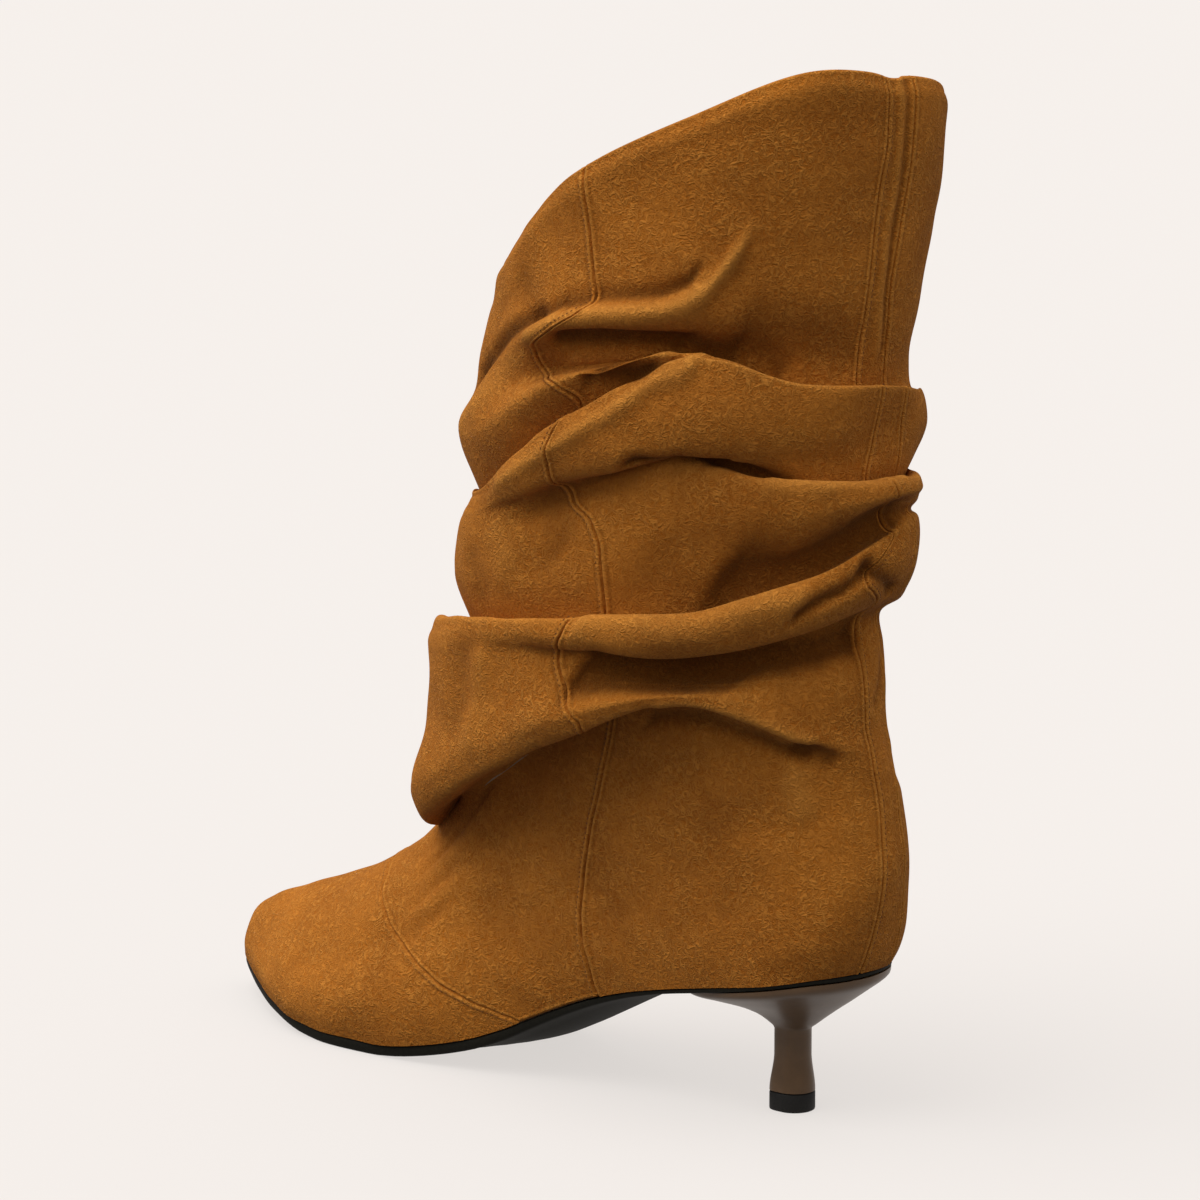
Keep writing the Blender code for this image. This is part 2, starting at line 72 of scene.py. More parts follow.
# heights in hundredths of the boot's height, reaches in hundredths of the fold reach
folds = (
    ("neck", (35.3, 37.9, 43.8, 40.1, 33.8, 27.4, 24.9, 28.7, 34.1, 34.7),
     (0, -30, -80, -120, -120, 10, 70, -60, -120, -90)),
    ("lip of the low fold", (36.9, 38.8, 42, 37.5, 31.2, 25.0, 21.6, 26.5, 34.1, 36),
     (-10, 0, 10, 30, 70, 130, 145, 10, -60, -80)),
    ("turn of the low fold", (38.5, 40.4, 42.7, 39.1, 32.8, 27.2, 23.6, 28.4, 36, 37.5),
     (-20, -10, 30, 70, 100, 170, 175, 40, -40, -90)),
    ("low fold", (43.2, 43.8, 44, 42.9, 39.1, 34.4, 32.8, 35.3, 40.4, 42.6),
     (-30, -30, -10, 50, 90, 120, 110, 10, -40, -100)),
    ("top of the low fold", (46.4, 46.4, 45.4, 44.8, 43.2, 40.1, 37.9, 41, 44.8, 46.1),
     (-50, -60, -40, 40, 95, 110, 100, 0, -30, -90)),
    ("hollow under the roll", (49.2, 48.9, 46.7, 45.9, 44.5, 41.6, 39.1, 42.3, 46.4, 48.6),
     (-70, -80, -55, 40, 97, 110, 100, -20, -40, -90)),
    ("underside of the roll", (51.1, 48.9, 46.4, 46.4, 45.4, 42.6, 40.1, 42.9, 47.3, 49.8),
     (0, 20, 40, 70, 97, 110, 100, 10, 0, -30)),
    ("roll", (53.9, 51.1, 48.3, 47.6, 46.4, 43.5, 41, 44.8, 49.8, 53),
     (60, 70, 90, 90, 93, 100, 90, 30, 30, 0)),
    ("lip of the roll", (58, 54.3, 50.8, 49.2, 47.2, 45, 42.3, 46.7, 53, 57.4),
     (60, 60, 60, 70, 73, 70, 60, 20, 30, 10)),
    ("pocket behind the roll", (59, 53.9, 49.8, 47.9, 45.7, 43.5, 41.6, 46.1, 53.6, 58),
     (30, 0, 0, 0, 0, -20, -30, -40, -10, -10)),
    ("middle fold", (60.3, 57.1, 55.2, 53, 50.8, 49.2, 47.9, 51.1, 56.2, 59.3),
     (50, 20, 0, 10, 47, 30, 20, 20, 20, 10)),
    ("top of the middle fold", (61.8, 60.9, 60.9, 58, 53.9, 52.7, 51.1, 54.6, 59, 61.2),
     (90, 60, 10, 10, 52, 20, 0, 20, 40, 0)),
    ("lip of the middle fold", (62.8, 63.1, 64.4, 60.6, 55.8, 54.9, 53, 56.5, 60.6, 62.1),
     (60, 40, 0, -10, 50, 0, -50, -10, 20, -10)),
    ("pocket behind the middle fold", (62.1, 62.1, 65.6, 61.5, 57.1, 55.8, 54.3, 57.1, 59.9, 61.5),
     (-10, -10, -40, 0, 48, -20, -60, -40, -30, -20)),
    ("underside of the high fold", (64, 64.4, 64.7, 62.1, 57.9, 56.2, 54.3, 57.4, 61.8, 63.4),
     (-10, 0, 40, 60, 44, -30, -50, 0, 20, 10)),
    ("high fold", (67.8, 68.1, 69.1, 65.3, 59, 56.9, 55.2, 59.6, 64.7, 66.6),
     (0, 40, 80, 90, 34, -40, -50, 30, 40, 45)),
    ("lip of the high fold", (71.3, 72.2, 74.4, 67.8, 59.5, 57.4, 56.2, 62.1, 67.8, 69.7),
     (20, 40, 50, 70, 15, -40, -50, 20, 20, 25)),
    ("pocket behind the high fold", (71.3, 72.2, 74.4, 67.2, 58.5, 56.5, 55.5, 61.2, 66.6, 69.4),
     (0, 20, 40, 10, -40, -60, -80, -40, -30, 5)),
    ("front lobe", (70.7, 71.9, 75.1, 71.6, 65, 62.5, 61.2, 65.6, 70.3, 72.6),
     (-50, -20, 30, 70, 35, 10, 10, 30, 20, -10)),
    ("hollow above the lobe", (73.2, 72.2, 74.1, 72.6, 69.7, 67.5, 66.2, 69.7, 74.1, 76.3),
     (-50, -60, -60, -30, -4, -30, -50, -20, -10, 10)),
    ("soft top roll", (80.4, 79.5, 78.5, 76.7, 73.8, 71.3, 70, 73.8, 78.9, 81.4),
     (-20, -30, 20, 60, -17, -60, -80, 0, 20, 40)),
    ("hollow above the top roll", (85.8, 85.2, 82.3, 80.1, 76.7, 73.8, 72.9, 77, 82.3, 85.2),
     (-10, -10, 10, 20, -35, -80, -100, -10, 20, 60)),
    ("top panel", (93.1, 93.4, 89.9, 84.9, 78.5, 75.7, 75.1, 80.4, 87.4, 92.1),
     (10, 0, 0, 0, -40, -110, -130, -10, 30, 90)),
    ("collar", (100, 100.6, 96.5, 90.5, 82, 78.5, 77.6, 83.6, 93.1, 98.4),
     (20, 10, 0, 10, -50, -130, -150, -10, 40, 100)),
)


def blendLine(u, start, end, leanStart, leanEnd):
    return ((1 + 2 * u) * (1 - u) ** 2 * start + u * (1 - u) ** 2 * leanStart
            + u * u * (3 - 2 * u) * end + u * u * (u - 1) * leanEnd)


def smoothLine(table):
    # a line through the rows of a table that never swings past them
    x, y = (np.array(column, float) for column in zip(*table))
    step = np.diff(x)
    slope = np.diff(y) / step
    lean = np.zeros_like(y)
    lean[0], lean[-1] = slope[0], slope[-1]
    for i in range(1, len(x) - 1):
        if slope[i - 1] * slope[i] > 0:
            near, far = 2 * step[i] + step[i - 1], step[i] + 2 * step[i - 1]
            lean[i] = (near + far) / (near / slope[i - 1] + far / slope[i])

    def read(at):
        at = np.clip(np.asarray(at, float), x[0], x[-1])
        i = np.clip(np.searchsorted(x, at, side="right") - 1, 0, len(x) - 2)
        return blendLine((at - x[i]) / step[i], y[i], y[i + 1], lean[i] * step[i], lean[i + 1] * step[i])

    return read


def ease(u):
    u = np.clip(u, 0, 1)
    return u * u * (3 - 2 * u)


def lastEdge(table):
    read = smoothLine([(np.arccos(1 - 2 * share), width) for share, width in table])
    return lambda x: boot["ballHalfWidth"] * read(np.arccos(np.clip(1 - 2 * x / boot["soleLength"], -1, 1)))


arch = smoothLine(archRows)
spring = smoothLine(springRows)
outerEdge = lastEdge(outerEdgeRows)
innerEdge = lastEdge(innerEdgeRows)
ridge = smoothLine(ridgeRows)
heelBack = smoothLine(heelBackRows)


def feather(x):
    share = x / boot["soleLength"]
    rest = boot["soleThickness"] + boot["gap"]
    return rest + boot["seatRise"] * arch(share) + boot["toeSpring"] * spring(share)


def halfWidth(x, side):
    return np.where(side >= 0, outerEdge(x), innerEdge(x))


def middleLine(x):
    start = 0.58 * boot["soleLength"]
    return -boot["toeTurn"] * np.clip((x - start) / (boot["soleLength"] - start), 0, 1) ** 2


neckRise = folds[0][1][0] / 100 * boot["height"] - float(feather(np.zeros(1))[0])


def fullRise(x):
    reach = boot["vampReach"]
    behind = neckRise + (boot["vampRise"] - neckRise) * np.clip(x / reach, 0, 1)
    front = ease((x - 0.92 * reach) / (0.16 * reach))
    return behind * (1 - front) + boot["vampRise"] * ridge(x / boot["soleLength"]) * front


def footRing(row, degrees):
    backRise, front = footRings[row][0] * boot["height"], footRings[row][1] * boot["soleLength"]
    reach = boot["vampReach"]
    angle = np.radians(degrees)
    side = np.sin(angle)
    x = front * (1 - np.cos(angle)) / 2
    frontRise = float(fullRise(np.array([front]))[0]) if row else 0
    rise = backRise + (frontRise - backRise) * (x / front) ** 1.15
    share = np.clip(rise / np.maximum(fullRise(x), 1e-6), 0, 1)
    ankle = boot["ankleHalfWidth"] * np.sqrt(np.clip(1 - (2 * x / reach - 1) ** 2, 0, 1)) * (x < reach)
    swell = 1 + 0.07 * np.sin(np.pi * np.clip(share * 2.2, 0, 1))
    openness = 1 - ease((x - 0.63 * reach) / (0.33 * reach))
    keep = (1 - share) * openness + (1 - share ** 1.9) ** 0.6 * (1 - openness)
    width = ankle + (halfWidth(x, side) * swell - ankle) * keep
    z = feather(x) + rise
    back = heelBack(z / boot["height"]) * boot["soleLength"] * (1 - ease(x / (0.27 * boot["soleLength"])))
    return np.stack([x - back, np.where(side >= 0, width, -width) + middleLine(x), z], -1)


def roundTable(values, degrees):
    at = np.array(places, float)
    known = np.array(values, float)
    at = np.concatenate([at[-3:] - 360, at, at[:3] + 360])
    known = np.concatenate([known[-3:], known, known[:3]])
    step, slope = np.diff(at), np.diff(known) / np.diff(at)
    lean = np.zeros_like(known)
    lean[1:-1] = (slope[:-1] * step[1:] + slope[1:] * step[:-1]) / (step[:-1] + step[1:])
    turned = np.mod(degrees, 360.0)
    i = np.clip(np.searchsorted(at, turned, side="right") - 1, 1, len(at) - 3)
    return blendLine((turned - at[i]) / step[i], known[i], known[i + 1], lean[i] * step[i], lean[i + 1] * step[i])


def shaftRing(row, degrees):
    heights, reaches = folds[row][1:]
    angle = np.radians(degrees)
    out = roundTable(reaches, degrees) / 100 * boot["foldReach"]
    half = np.where(np.sin(angle) >= 0, boot["shaftHalfWidthOut"], boot["shaftHalfWidthIn"])
    nx, ny = -np.cos(angle) / boot["shaftHalfLength"], np.sin(angle) / half
    size = np.hypot(nx, ny)
    x = boot["shaftMiddle"] - boot["shaftHalfLength"] * np.cos(angle) + out * nx / size
    y = half * np.sin(angle) + out * ny / size
    return np.stack([x, y, roundTable(heights, degrees) / 100 * boot["height"]], -1)


def allRings(degrees):
    rings = [footRing(row, degrees) for row in range(len(footRings))]
    rings += [shaftRing(row, degrees) for row in range(len(folds))]
    return np.array(rings)


coarse = allRings(np.arange(0, 360, 10.0))
ringApart = np.linalg.norm(np.diff(coarse, axis=0), axis=-1).mean(1)
ringPlace = np.concatenate([[0], np.cumsum(np.maximum(ringApart, 0.002) ** 0.8)])
ringNumber = np.arange(len(ringPlace), dtype=float)
lastRing = len(ringPlace) - 1


def leather(rows, degrees):
    # points of the leather's outer face; rows and degrees are arrays of one shape
    at = np.interp(rows, ringNumber, ringPlace)
    rings = allRings(degrees)
    step = np.diff(ringPlace).reshape((-1,) + (1,) * (rings.ndim - 1))
    slope = np.diff(rings, axis=0) / step
    lean = np.zeros_like(rings)
    lean[0], lean[-1] = slope[0], slope[-1]
    lean[1:-1] = (slope[:-1] * step[1:] + slope[1:] * step[:-1]) / (step[:-1] + step[1:])
    i = np.clip(np.searchsorted(ringPlace, at, side="right") - 1, 0, lastRing - 1)
    width = (ringPlace[i + 1] - ringPlace[i])[..., None]
    u = ((at - ringPlace[i])[..., None]) / width
    index = i[None, ..., None]
    start, end, leanStart, leanEnd = (
        np.take_along_axis(table, np.broadcast_to(index + further, (1,) + rings.shape[1:]), 0)[0]
        for table, further in ((rings, 0), (rings, 1), (lean, 0), (lean, 1)))
    return blendLine(u, start, end, leanStart * width, leanEnd * width)


def unit(vectors):
    return vectors / np.maximum(np.linalg.norm(vectors, axis=-1, keepdims=True), 1e-12)


# The solids stand over the middle of their box: this is how far the last was moved
insetSole = 0.0004


def soleOutline(inset, count):
    angle = np.linspace(0, 2 * np.pi, count, endpoint=False)
    x = boot["soleLength"] * (1 - np.cos(angle)) / 2
    side = np.sin(angle)
    width = halfWidth(x, side) * np.sign(np.round(side, 9))
    back = 0.006 * boot["soleLength"] * (1 - ease(x / (0.27 * boot["soleLength"])))
    outline = np.stack([x - back, width + middleLine(x)], -1)
    run = np.roll(outline, -1, axis=0) - np.roll(outline, 1, axis=0)
    drawn = outline + unit(np.stack([run[:, 1], -run[:, 0]], -1)) * inset
    return drawn, np.clip(drawn[:, 0], 0, boot["soleLength"])


plain = soleOutline(insetSole, 40)[0]
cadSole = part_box("outsole")
shift = np.array([(cadSole[0][0] + cadSole[1][0] - plain[:, 0].min() - plain[:, 0].max()) / 2,
                  (cadSole[0][1] + cadSole[1][1] - plain[:, 1].min() - plain[:, 1].max()) / 2, 0])
print("last moved by", np.round(shift * 1000, 2), "mm")

# Seams in the leather's own measure: ring number, degrees round the boot
sideSeam = smoothLine(((0, 69.3), (1.8, 70.5), (3.3, 73.9), (4.7, 78.5), (5.8, 82), (7.1, 85.2), (8.2, 86.5),
    (9.6, 85), (10.7, 89), (12.2, 91.4), (14, 90), (15.5, 87), (17.4, 81.4), (18.4, 81.8), (18.9, 84.1), (19.8, 90.5),
    (22, 92), (23, 91.2), (24.4, 87), (25.4, 86), (25.9, 90), (26.7, 97), (27.3, 100.5), (27.7, 99), (28, 91),
    (28.3, 84.5), (28.7, 82.3), (29.6, 84), (31, 86.7)))
backSeam = smoothLine(((0, 5.5), (1.1, 5.7), (3.1, 5.1), (4.8, 5.2), (6.3, 5.1), (7.6, 5.6), (9, 6.3), (10.5, 7.4),
    (11.9, 6.9), (13.1, 5.3), (14, 5.6), (14.7, 10.2), (15.2, 13.5), (15.6, 9), (16, 3.2), (18.8, 4.7), (19.7, 5.6),
    (21.7, 8.2), (22.7, 5.8), (23.5, 4.9), (25.6, 7.6), (26.8, 8.5), (27.8, 7), (28.7, 5.8), (29.6, 4.2), (30.2, 2.4),
    (31, 2.2)))
stripEdge = smoothLine(((0, -7.5), (14, -7.5), (18, -8.5), (24, -7.5), (27.2, -5.2), (28, -4), (28.6, -5),
    (29.2, -6.7), (29.8, -8.1), (30.5, -8.5), (31, -9)))
innerSeam = smoothLine(((0, -69), (4, -76), (8, -86), (12, -90), (17, -82), (21, -90), (26, -86), (31, -88)))
vampSeam = smoothLine(((82.5, 0), (84.3, 0.8), (89.6, 1.9), (98.2, 3.05), (109.9, 4.12), (122.9, 4.87), (132.1, 5.32),
    (143.4, 5.76), (150.6, 6.05), (180, 6.35), (209, 6.05), (228, 5.3), (250, 4.1), (262, 3.0), (270.4, 1.9),
    (276, 0.8), (277.5, 0)))
# metres: the groove at the edge, the swelling beside it and the dent along the stitches
seamLook = {"groove": 0.00055, "grooveWidth": 0.00030, "puff": 0.00020, "puffPlace": 0.0010, "puffWidth": 0.00060,
            "dent": 0.00002, "dentPlace": 0.0017, "dentWidth": 0.00035}
sideSeamLook = {"groove": 0.00070, "grooveWidth": 0.00034, "puff": 0.00028, "puffPlace": 0.0012, "puffWidth": 0.00080,
                "dent": 0.00005, "dentPlace": 0.0021, "dentWidth": 0.00045}

# Creases, listed one by one: depth (a ridge is positive) and half width in millimetres, then the line
# they follow as ring number and degrees
creases = {
    "valley above the lobe": (-2.4, 3.2, ((27.2, 134), (27.4, 129), (27.75, 120), (28.1, 110), (28.45, 100))),
    "end of that valley": (-0.9, 7.0, ((26.6, 156), (27.0, 142), (27.2, 132))),
    "lobe": (1.1, 5.5, ((26.3, 140), (26.6, 128), (27.0, 116), (27.4, 106))),
    "valley above the top roll": (-1.8, 2.6, ((28.45, 100), (28.68, 91), (28.7, 83), (28.68, 75), (28.68, 66),
        (28.9, 59))),
    "top edge of the high fold": (1.0, 2.6, ((27.25, 90), (27.2, 82), (27.1, 74), (26.6, 68), (25.9, 64))),
    "top roll": (2.3, 3.2, ((27.9, 99.5), (28.1, 92), (28.2, 85.5), (28.24, 75), (28.2, 66), (28.3, 60), (28.55, 55),
        (28.9, 51.4), (29.1, 48))),
    "pocket under the top roll": (-1.6, 2.7, ((27.72, 91), (27.66, 85.5), (27.58, 76.5), (27.46, 66), (27.41, 62))),
    "middle of that pocket": (-1.4, 3.0, ((27.72, 91), (27.66, 85.5), (27.58, 76.5), (27.46, 66), (27.38, 60),
        (27.28, 50))),
    "tail of that pocket": (-1.2, 3.5, ((27.72, 91), (27.66, 85.5), (27.58, 76.5), (27.46, 66), (27.38, 60),
        (27.3, 52), (27.2, 36))),
    "hollow towards the back": (-1.2, 7.0, ((27.6, 46), (27.5, 30), (27.3, 14))),
    "hollow of the triangle": (-2.4, 4.0, ((25.9, 81), (25.6, 76.5), (25.3, 72.5), (24.7, 69.5))),
    "ridge of the high fold": (1.5, 3.2, ((23.85, 58), (23.7, 65), (23.6, 68.5), (23.35, 76), (23.2, 85), (23.05, 90),
        (22.9, 100), (22.85, 108))),
    "pocket under the high fold": (-3.6, 3.0, ((22.2, 71), (22.0, 62), (21.4, 52))),
    "tail under the high fold": (-1.8, 2.8, ((21.3, 50), (21.0, 42), (20.8, 33))),
    "trough of the middle fold": (-3.2, 6.5, ((17.55, 5), (17.57, 20), (17.55, 36), (17.58, 50))),
    "left end of the trough": (-1.4, 12.0, ((17.6, 50), (17.8, 68))),
    "crest of the roll": (1.5, 4.0, ((15.7, 82), (15.68, 66), (15.6, 55), (15.57, 44), (15.44, 33))),
    "hollow under the roll": (-4.0, 4.8, ((11.62, 84.5), (11.76, 80), (11.82, 69.6), (11.82, 57.4), (11.87, 47),
        (12.04, 32.6), (12.13, 22.5), (12.3, 11))),
    "edge of the low fold": (1.0, 2.4, ((9.1, 66), (8.9, 59), (9.1, 49), (9.1, 41.5), (8.93, 33.4), (8.75, 28.2))),
    "under the low fold": (-1.5, 2.6, ((7.6, 73), (7.6, 59.5), (7.62, 48.5), (7.7, 36.7), (7.8, 29))),
    "dimple": (-1.5, 3.8, ((7.9, 30), (7.96, 25.4), (7.92, 21.6))),
    "bump under the dimple": (1.4, 5.0, ((7.4, 34), (7.1, 33))),
    "ridge on the low fold": (0.7, 4.2, ((11.97, 113.9), (10.96, 115.9), (10.4, 116.8))),
    "hollow on the low fold": (-0.8, 5.5, ((12.27, 120), (11.27, 122.5), (10.7, 124.5))),
    "ridge behind the back seam": (0.6, 1.8, ((31, -3.2), (30.1, -2.6), (29.5, -2.0), (28.9, 0.6), (27.9, 1.2),
        (27.2, -0.6))),
    "valley behind the back seam": (-0.6, 1.8, ((31, -5.6), (30.1, -5.2), (29.5, -5.0), (28.7, -2.6), (27.9, -1.9),
        (27.2, -3.8))),
    "branch of the roll": (-2.4, 2.4, ((15.41, 13.8), (15.27, 20.4), (15.2, 28.3), (15.06, 32))),
    "pinch at the back": (-2.0, 2.5, ((15.55, 14), (15.06, 8), (14.4, 1))),
    "crease at the back": (-0.8, 2.8, ((12.3, -12), (11.6, -6.5), (10.6, 1.3))),
    "light on the front lobe": (0.9, 4.5, ((19.7, 111), (18.5, 108))),
    "hollow on the front lobe": (-1.0, 4.5, ((18.6, 123), (17.8, 119))),
    "hollow left of the seam": (-0.9, 5.0, ((29.7, 108), (28.9, 103))),
    "edge of the middle fold": (1.1, 2.8, ((19.8, 39), (19.9, 24), (20.2, 0))),
    "hollow by the side seam": (-0.9, 6.0, ((20.3, 97), (18.7, 92.5))),
    "crease over the ankle, inner side": (-1.6, 4.0, ((9.4, 300), (9.8, 270), (9.6, 240))),
    "crease of the inner shaft": (-2.2, 4.5, ((17.4, 330), (17.8, 295), (17.5, 255))),
    "pocket of the inner shaft": (-2.6, 4.0, ((24.9, 325), (25.2, 290), (25.0, 250))),
    "ridge of the inner shaft": (1.2, 5.0, ((21.5, 320), (22.2, 280), (22.0, 240))),
    "crease across the front": (-2.0, 4.0, ((17.5, 150), (17.8, 185), (17.5, 225))),
}
arcDegrees = np.arange(-60, 421, 5.0)
arcRows = np.interp(np.linspace(0, ringPlace[-1], 320), ringPlace, ringNumber)


def wander(points):
    # slow unevenness of a soft hide, in metres
    x, y, z = (points[..., k] * 1000 for k in range(3))
    return (0.00030 * np.sin(x / 9.1 + 1.3 * np.sin(z / 13.0)) * np.sin(z / 8.3 + y / 11.0 + 0.7)
            + 0.00016 * np.sin(x / 4.1 - y / 5.3 + 2.0 * np.sin(z / 9.7)) * np.sin(z / 4.7 + 1.1))


def arcTable():
    # length of the leather from the sole's edge up to each ring number, at every fifth degree
    rows = arcRows[:, None] * np.ones((1, len(arcDegrees)))
    points = leather(rows, arcDegrees[None, :] * np.ones((len(arcRows), 1)))
    return alongLengths(points, 0) * 1000


def flatPlace(rows, degrees):
    # place on the leather laid flat, in millimetres
    turned = np.where(degrees < -60, degrees + 360, degrees)
    r = np.interp(rows, arcRows, np.arange(len(arcRows)))
    c = (turned - arcDegrees[0]) / 5
    r0 = np.clip(r.astype(int), 0, len(arcRows) - 2)
    c0 = np.clip(c.astype(int), 0, len(arcDegrees) - 2)
    fr, fc = r - r0, c - c0
    up = ((1 - fr) * ((1 - fc) * arcLengths[r0, c0] + fc * arcLengths[r0, c0 + 1])
          + fr * ((1 - fc) * arcLengths[r0 + 1, c0] + fc * arcLengths[r0 + 1, c0 + 1]))
    return np.stack([turned * 1.08, up], -1)


def creaseShape(rows, degrees, wider=0.0, hollowsOnly=False):
    out = np.zeros_like(rows)
    here = flatPlace(rows, degrees)
    for deep, halfWide, line in creases.values():
        if hollowsOnly and deep > 0:
            continue
        knots = np.array(line, float)
        ends = flatPlace(knots[:, 0], knots[:, 1])
        best = np.full(rows.shape, 1e9)
        for turn in (0, 388.8, -388.8):
            for start, end in zip(ends[:-1], ends[1:]):
                run = end - start
                away = here - start - (turn, 0)
                along = np.clip((away @ run) / (run @ run), 0, 1)
                best = np.minimum(best, np.linalg.norm(away - along[..., None] * run, axis=-1))
        out += deep / 1000 * np.exp(-(best / (halfWide + wider)) ** 2)
    return out


def alongLengths(points, axis):
    step = np.linalg.norm(np.diff(points, axis=axis), axis=-1)
    zero = np.zeros_like(np.take(step, [0], axis=axis))
    return np.concatenate([zero, np.cumsum(step, axis=axis)], axis=axis)


arcLengths = arcTable()


def seamShape(away, look=seamLook):
    return (-look["groove"] * np.exp(-(away / look["grooveWidth"]) ** 2)
            + look["puff"] * np.exp(-((away - look["puffPlace"]) / look["puffWidth"]) ** 2)
            - look["dent"] * np.exp(-((away - look["dentPlace"]) / look["dentWidth"]) ** 2))


def outward(points, rows, degrees):
    up = leather(np.clip(rows + 0.02, 0, lastRing), degrees) - leather(np.clip(rows - 0.02, 0, lastRing), degrees)
    along = leather(rows, degrees + 0.4) - leather(rows, degrees - 0.4)
    return unit(np.cross(up, along))


def panelPoints(low, high, across, up, bottom=None):
    # low and high give the panel's edges in degrees, bottom the ring where it starts,
    # and the grid is closer along the panel's edges
    lengths = np.linspace(0, 1, up)
    share = np.linspace(0, 1, across)[None, :]
    share = share - 0.85 / (2 * np.pi) * np.sin(2 * np.pi * share)
    if bottom:
        lengths = lengths - 0.6 / (2 * np.pi) * np.sin(2 * np.pi * np.clip(lengths, 0, 0.5)) * (lengths < 0.5)
    total = ringPlace[-1]
    rows = np.interp(lengths * total, ringPlace, ringNumber)[:, None] * np.ones((1, across))
    for _ in range(6 if bottom else 1):
        degrees = low(rows) + (high(rows) - low(rows)) * share
        if bottom:
            start = np.interp(bottom(degrees[0]), ringNumber, ringPlace)
            rows = np.interp(start[None, :] + (total - start[None, :]) * lengths[:, None], ringPlace, ringNumber)
    return rows, degrees


# the collar's back corner falls away, and its edge is soft and round
collar = {"cornerAt": -40, "cornerSpan": 13, "cornerDrop": 0.0045, "dipAt": -1, "dipSpan": 5, "dip": 0.0012,
          "fallsFrom": 29.8, "fallsOver": 1.2, "edgeRound": 0.0016, "edgeDepth": 0.0024}


def collarFall(rows, degrees):
    around = np.mod(degrees + 180, 360) - 180
    fall = (collar["cornerDrop"] * np.exp(-((around - collar["cornerAt"]) / collar["cornerSpan"]) ** 2)
            + collar["dip"] * np.exp(-((around - collar["dipAt"]) / collar["dipSpan"]) ** 2))
    return fall * ease((rows - collar["fallsFrom"]) / collar["fallsOver"])


def finishedPoints(rows, degrees, seams):
    points = leather(rows, degrees)
    points[..., 2] -= collarFall(rows, degrees)
    normal = outward(points, rows, degrees)
    across = alongLengths(points, 1)
    upward = alongLengths(points, 0)
    shape = wander(points) + creaseShape(rows, degrees)
    down = upward[-1:] - upward
    for look, away in zip(seams, (across, across[:, -1:] - across, upward, down)):
        if look:
            shape = shape + seamShape(away, look)
    if not seams[3]:
        # the collar's turned edge rounds in at the very top
        shape = shape - collar["edgeRound"] * np.exp(-(down / collar["edgeDepth"]) ** 2)
    return points + normal * shape[..., None], normal


# how strongly a bend or a crease paints shade (folds) or a highlight with rubbed wear (bulges) into the nap's colour,
# and how close together bends are read
paintedShadeLook = {"bend": 260, "bendShare": 0.7, "fold": 0.0030, "upSteps": 3, "acrossSteps": 4, "turnedIn": 0.2}


def paintedShadeAndHighlight(points, normal, folded):
    # how far the leather bulges (above nought) or folds in: painted highlight with rubbed wear on bulges, painted shade
    # in folds, for the nap's colour
    out = np.zeros(points.shape[:2])
    for axis, wide in ((0, paintedShadeLook["upSteps"]), (1, paintedShadeLook["acrossSteps"])):
        near, far = np.roll(points, wide, axis=axis), np.roll(points, -wide, axis=axis)
        stepNear = np.linalg.norm(points - near, axis=-1)
        stepFar = np.linalg.norm(far - points, axis=-1)
        total = np.maximum(stepNear + stepFar, 1e-5)
        straight = near + (far - near) * (stepNear / total)[..., None]
        value = ((points - straight) * normal).sum(-1) / np.maximum(stepNear * stepFar, 2.5e-7)
        cut = [slice(None), slice(None)]
        for end in (slice(0, wide), slice(-wide, None)):
            cut[axis] = end
            value[tuple(cut)] = 0
        out += value
    return np.clip(np.tanh(out / paintedShadeLook["bend"]) * paintedShadeLook["bendShare"] + folded / paintedShadeLook["fold"], -1, 1)


def turnedEdge(points, normal, inside=0.010):
    # the collar's edge turned over to the inside
    up = unit(points[-1] - points[-2])
    thick = boot["wall"]
    middle = points[-1] - normal[-1] * thick / 2
    rows = [points]
    for angle in np.radians((25, 50, 75, 100, 125, 150)):
        rows.append((middle + normal[-1] * thick / 2 * np.cos(angle) + up * thick / 2 * np.sin(angle))[None])
    for i in range(2, 2 + int(inside / 0.0012)):
        rows.append((points[-i] - normal[-i] * thick)[None])
    return np.concatenate(rows)


def deselect():
    for item in bpy.context.selected_objects:
        item.select_set(False)


def gridPiece(name, points):
    # a grid laid out at full count, then drawn to its place point by point
    up, across = points.shape[:2]
    deselect()
    bpy.ops.mesh.primitive_grid_add(x_subdivisions=across - 1, y_subdivisions=up - 1, size=1)
    piece = bpy.context.object
    piece.name = name
    piece.data.name = name
    piece.data.vertices.foreach_set("co", (points + shift).reshape(-1, 3).astype(np.float32).ravel())
    piece.data.update()
    bpy.ops.object.shade_smooth()
    return piece


# stores the painted shade and painted highlight per point; the turned-in rows get one fixed value
def storePaintedShade(piece, lift, size):
    full = np.full(size, paintedShadeLook["turnedIn"], np.float32)
    full[:lift.shape[0]] = lift
    note = piece.data.attributes.new("paintedShadeAndHighlight", "FLOAT", "POINT")
    note.data.foreach_set("value", full.ravel())


def faceOutward(piece, flip):
    if flip:
        bpy.context.view_layer.objects.active = piece
        bpy.ops.object.mode_set(mode="EDIT")
        bpy.ops.mesh.select_all(action="SELECT")
        bpy.ops.mesh.flip_normals()
        bpy.ops.object.mode_set(mode="OBJECT")


def pointsOut(piece, normal):
    # compares the mesh's faces with the leather's outward direction
    count = len(piece.data.polygons)
    faces = np.empty(count * 3)
    piece.data.polygons.foreach_get("normal", faces)
    faces = faces.reshape(-1, 3)
    up, across = normal.shape[:2]
    middle = normal[:-1, :-1].reshape(-1, 3)
    return (faces[:len(middle)] * middle).sum() > 0


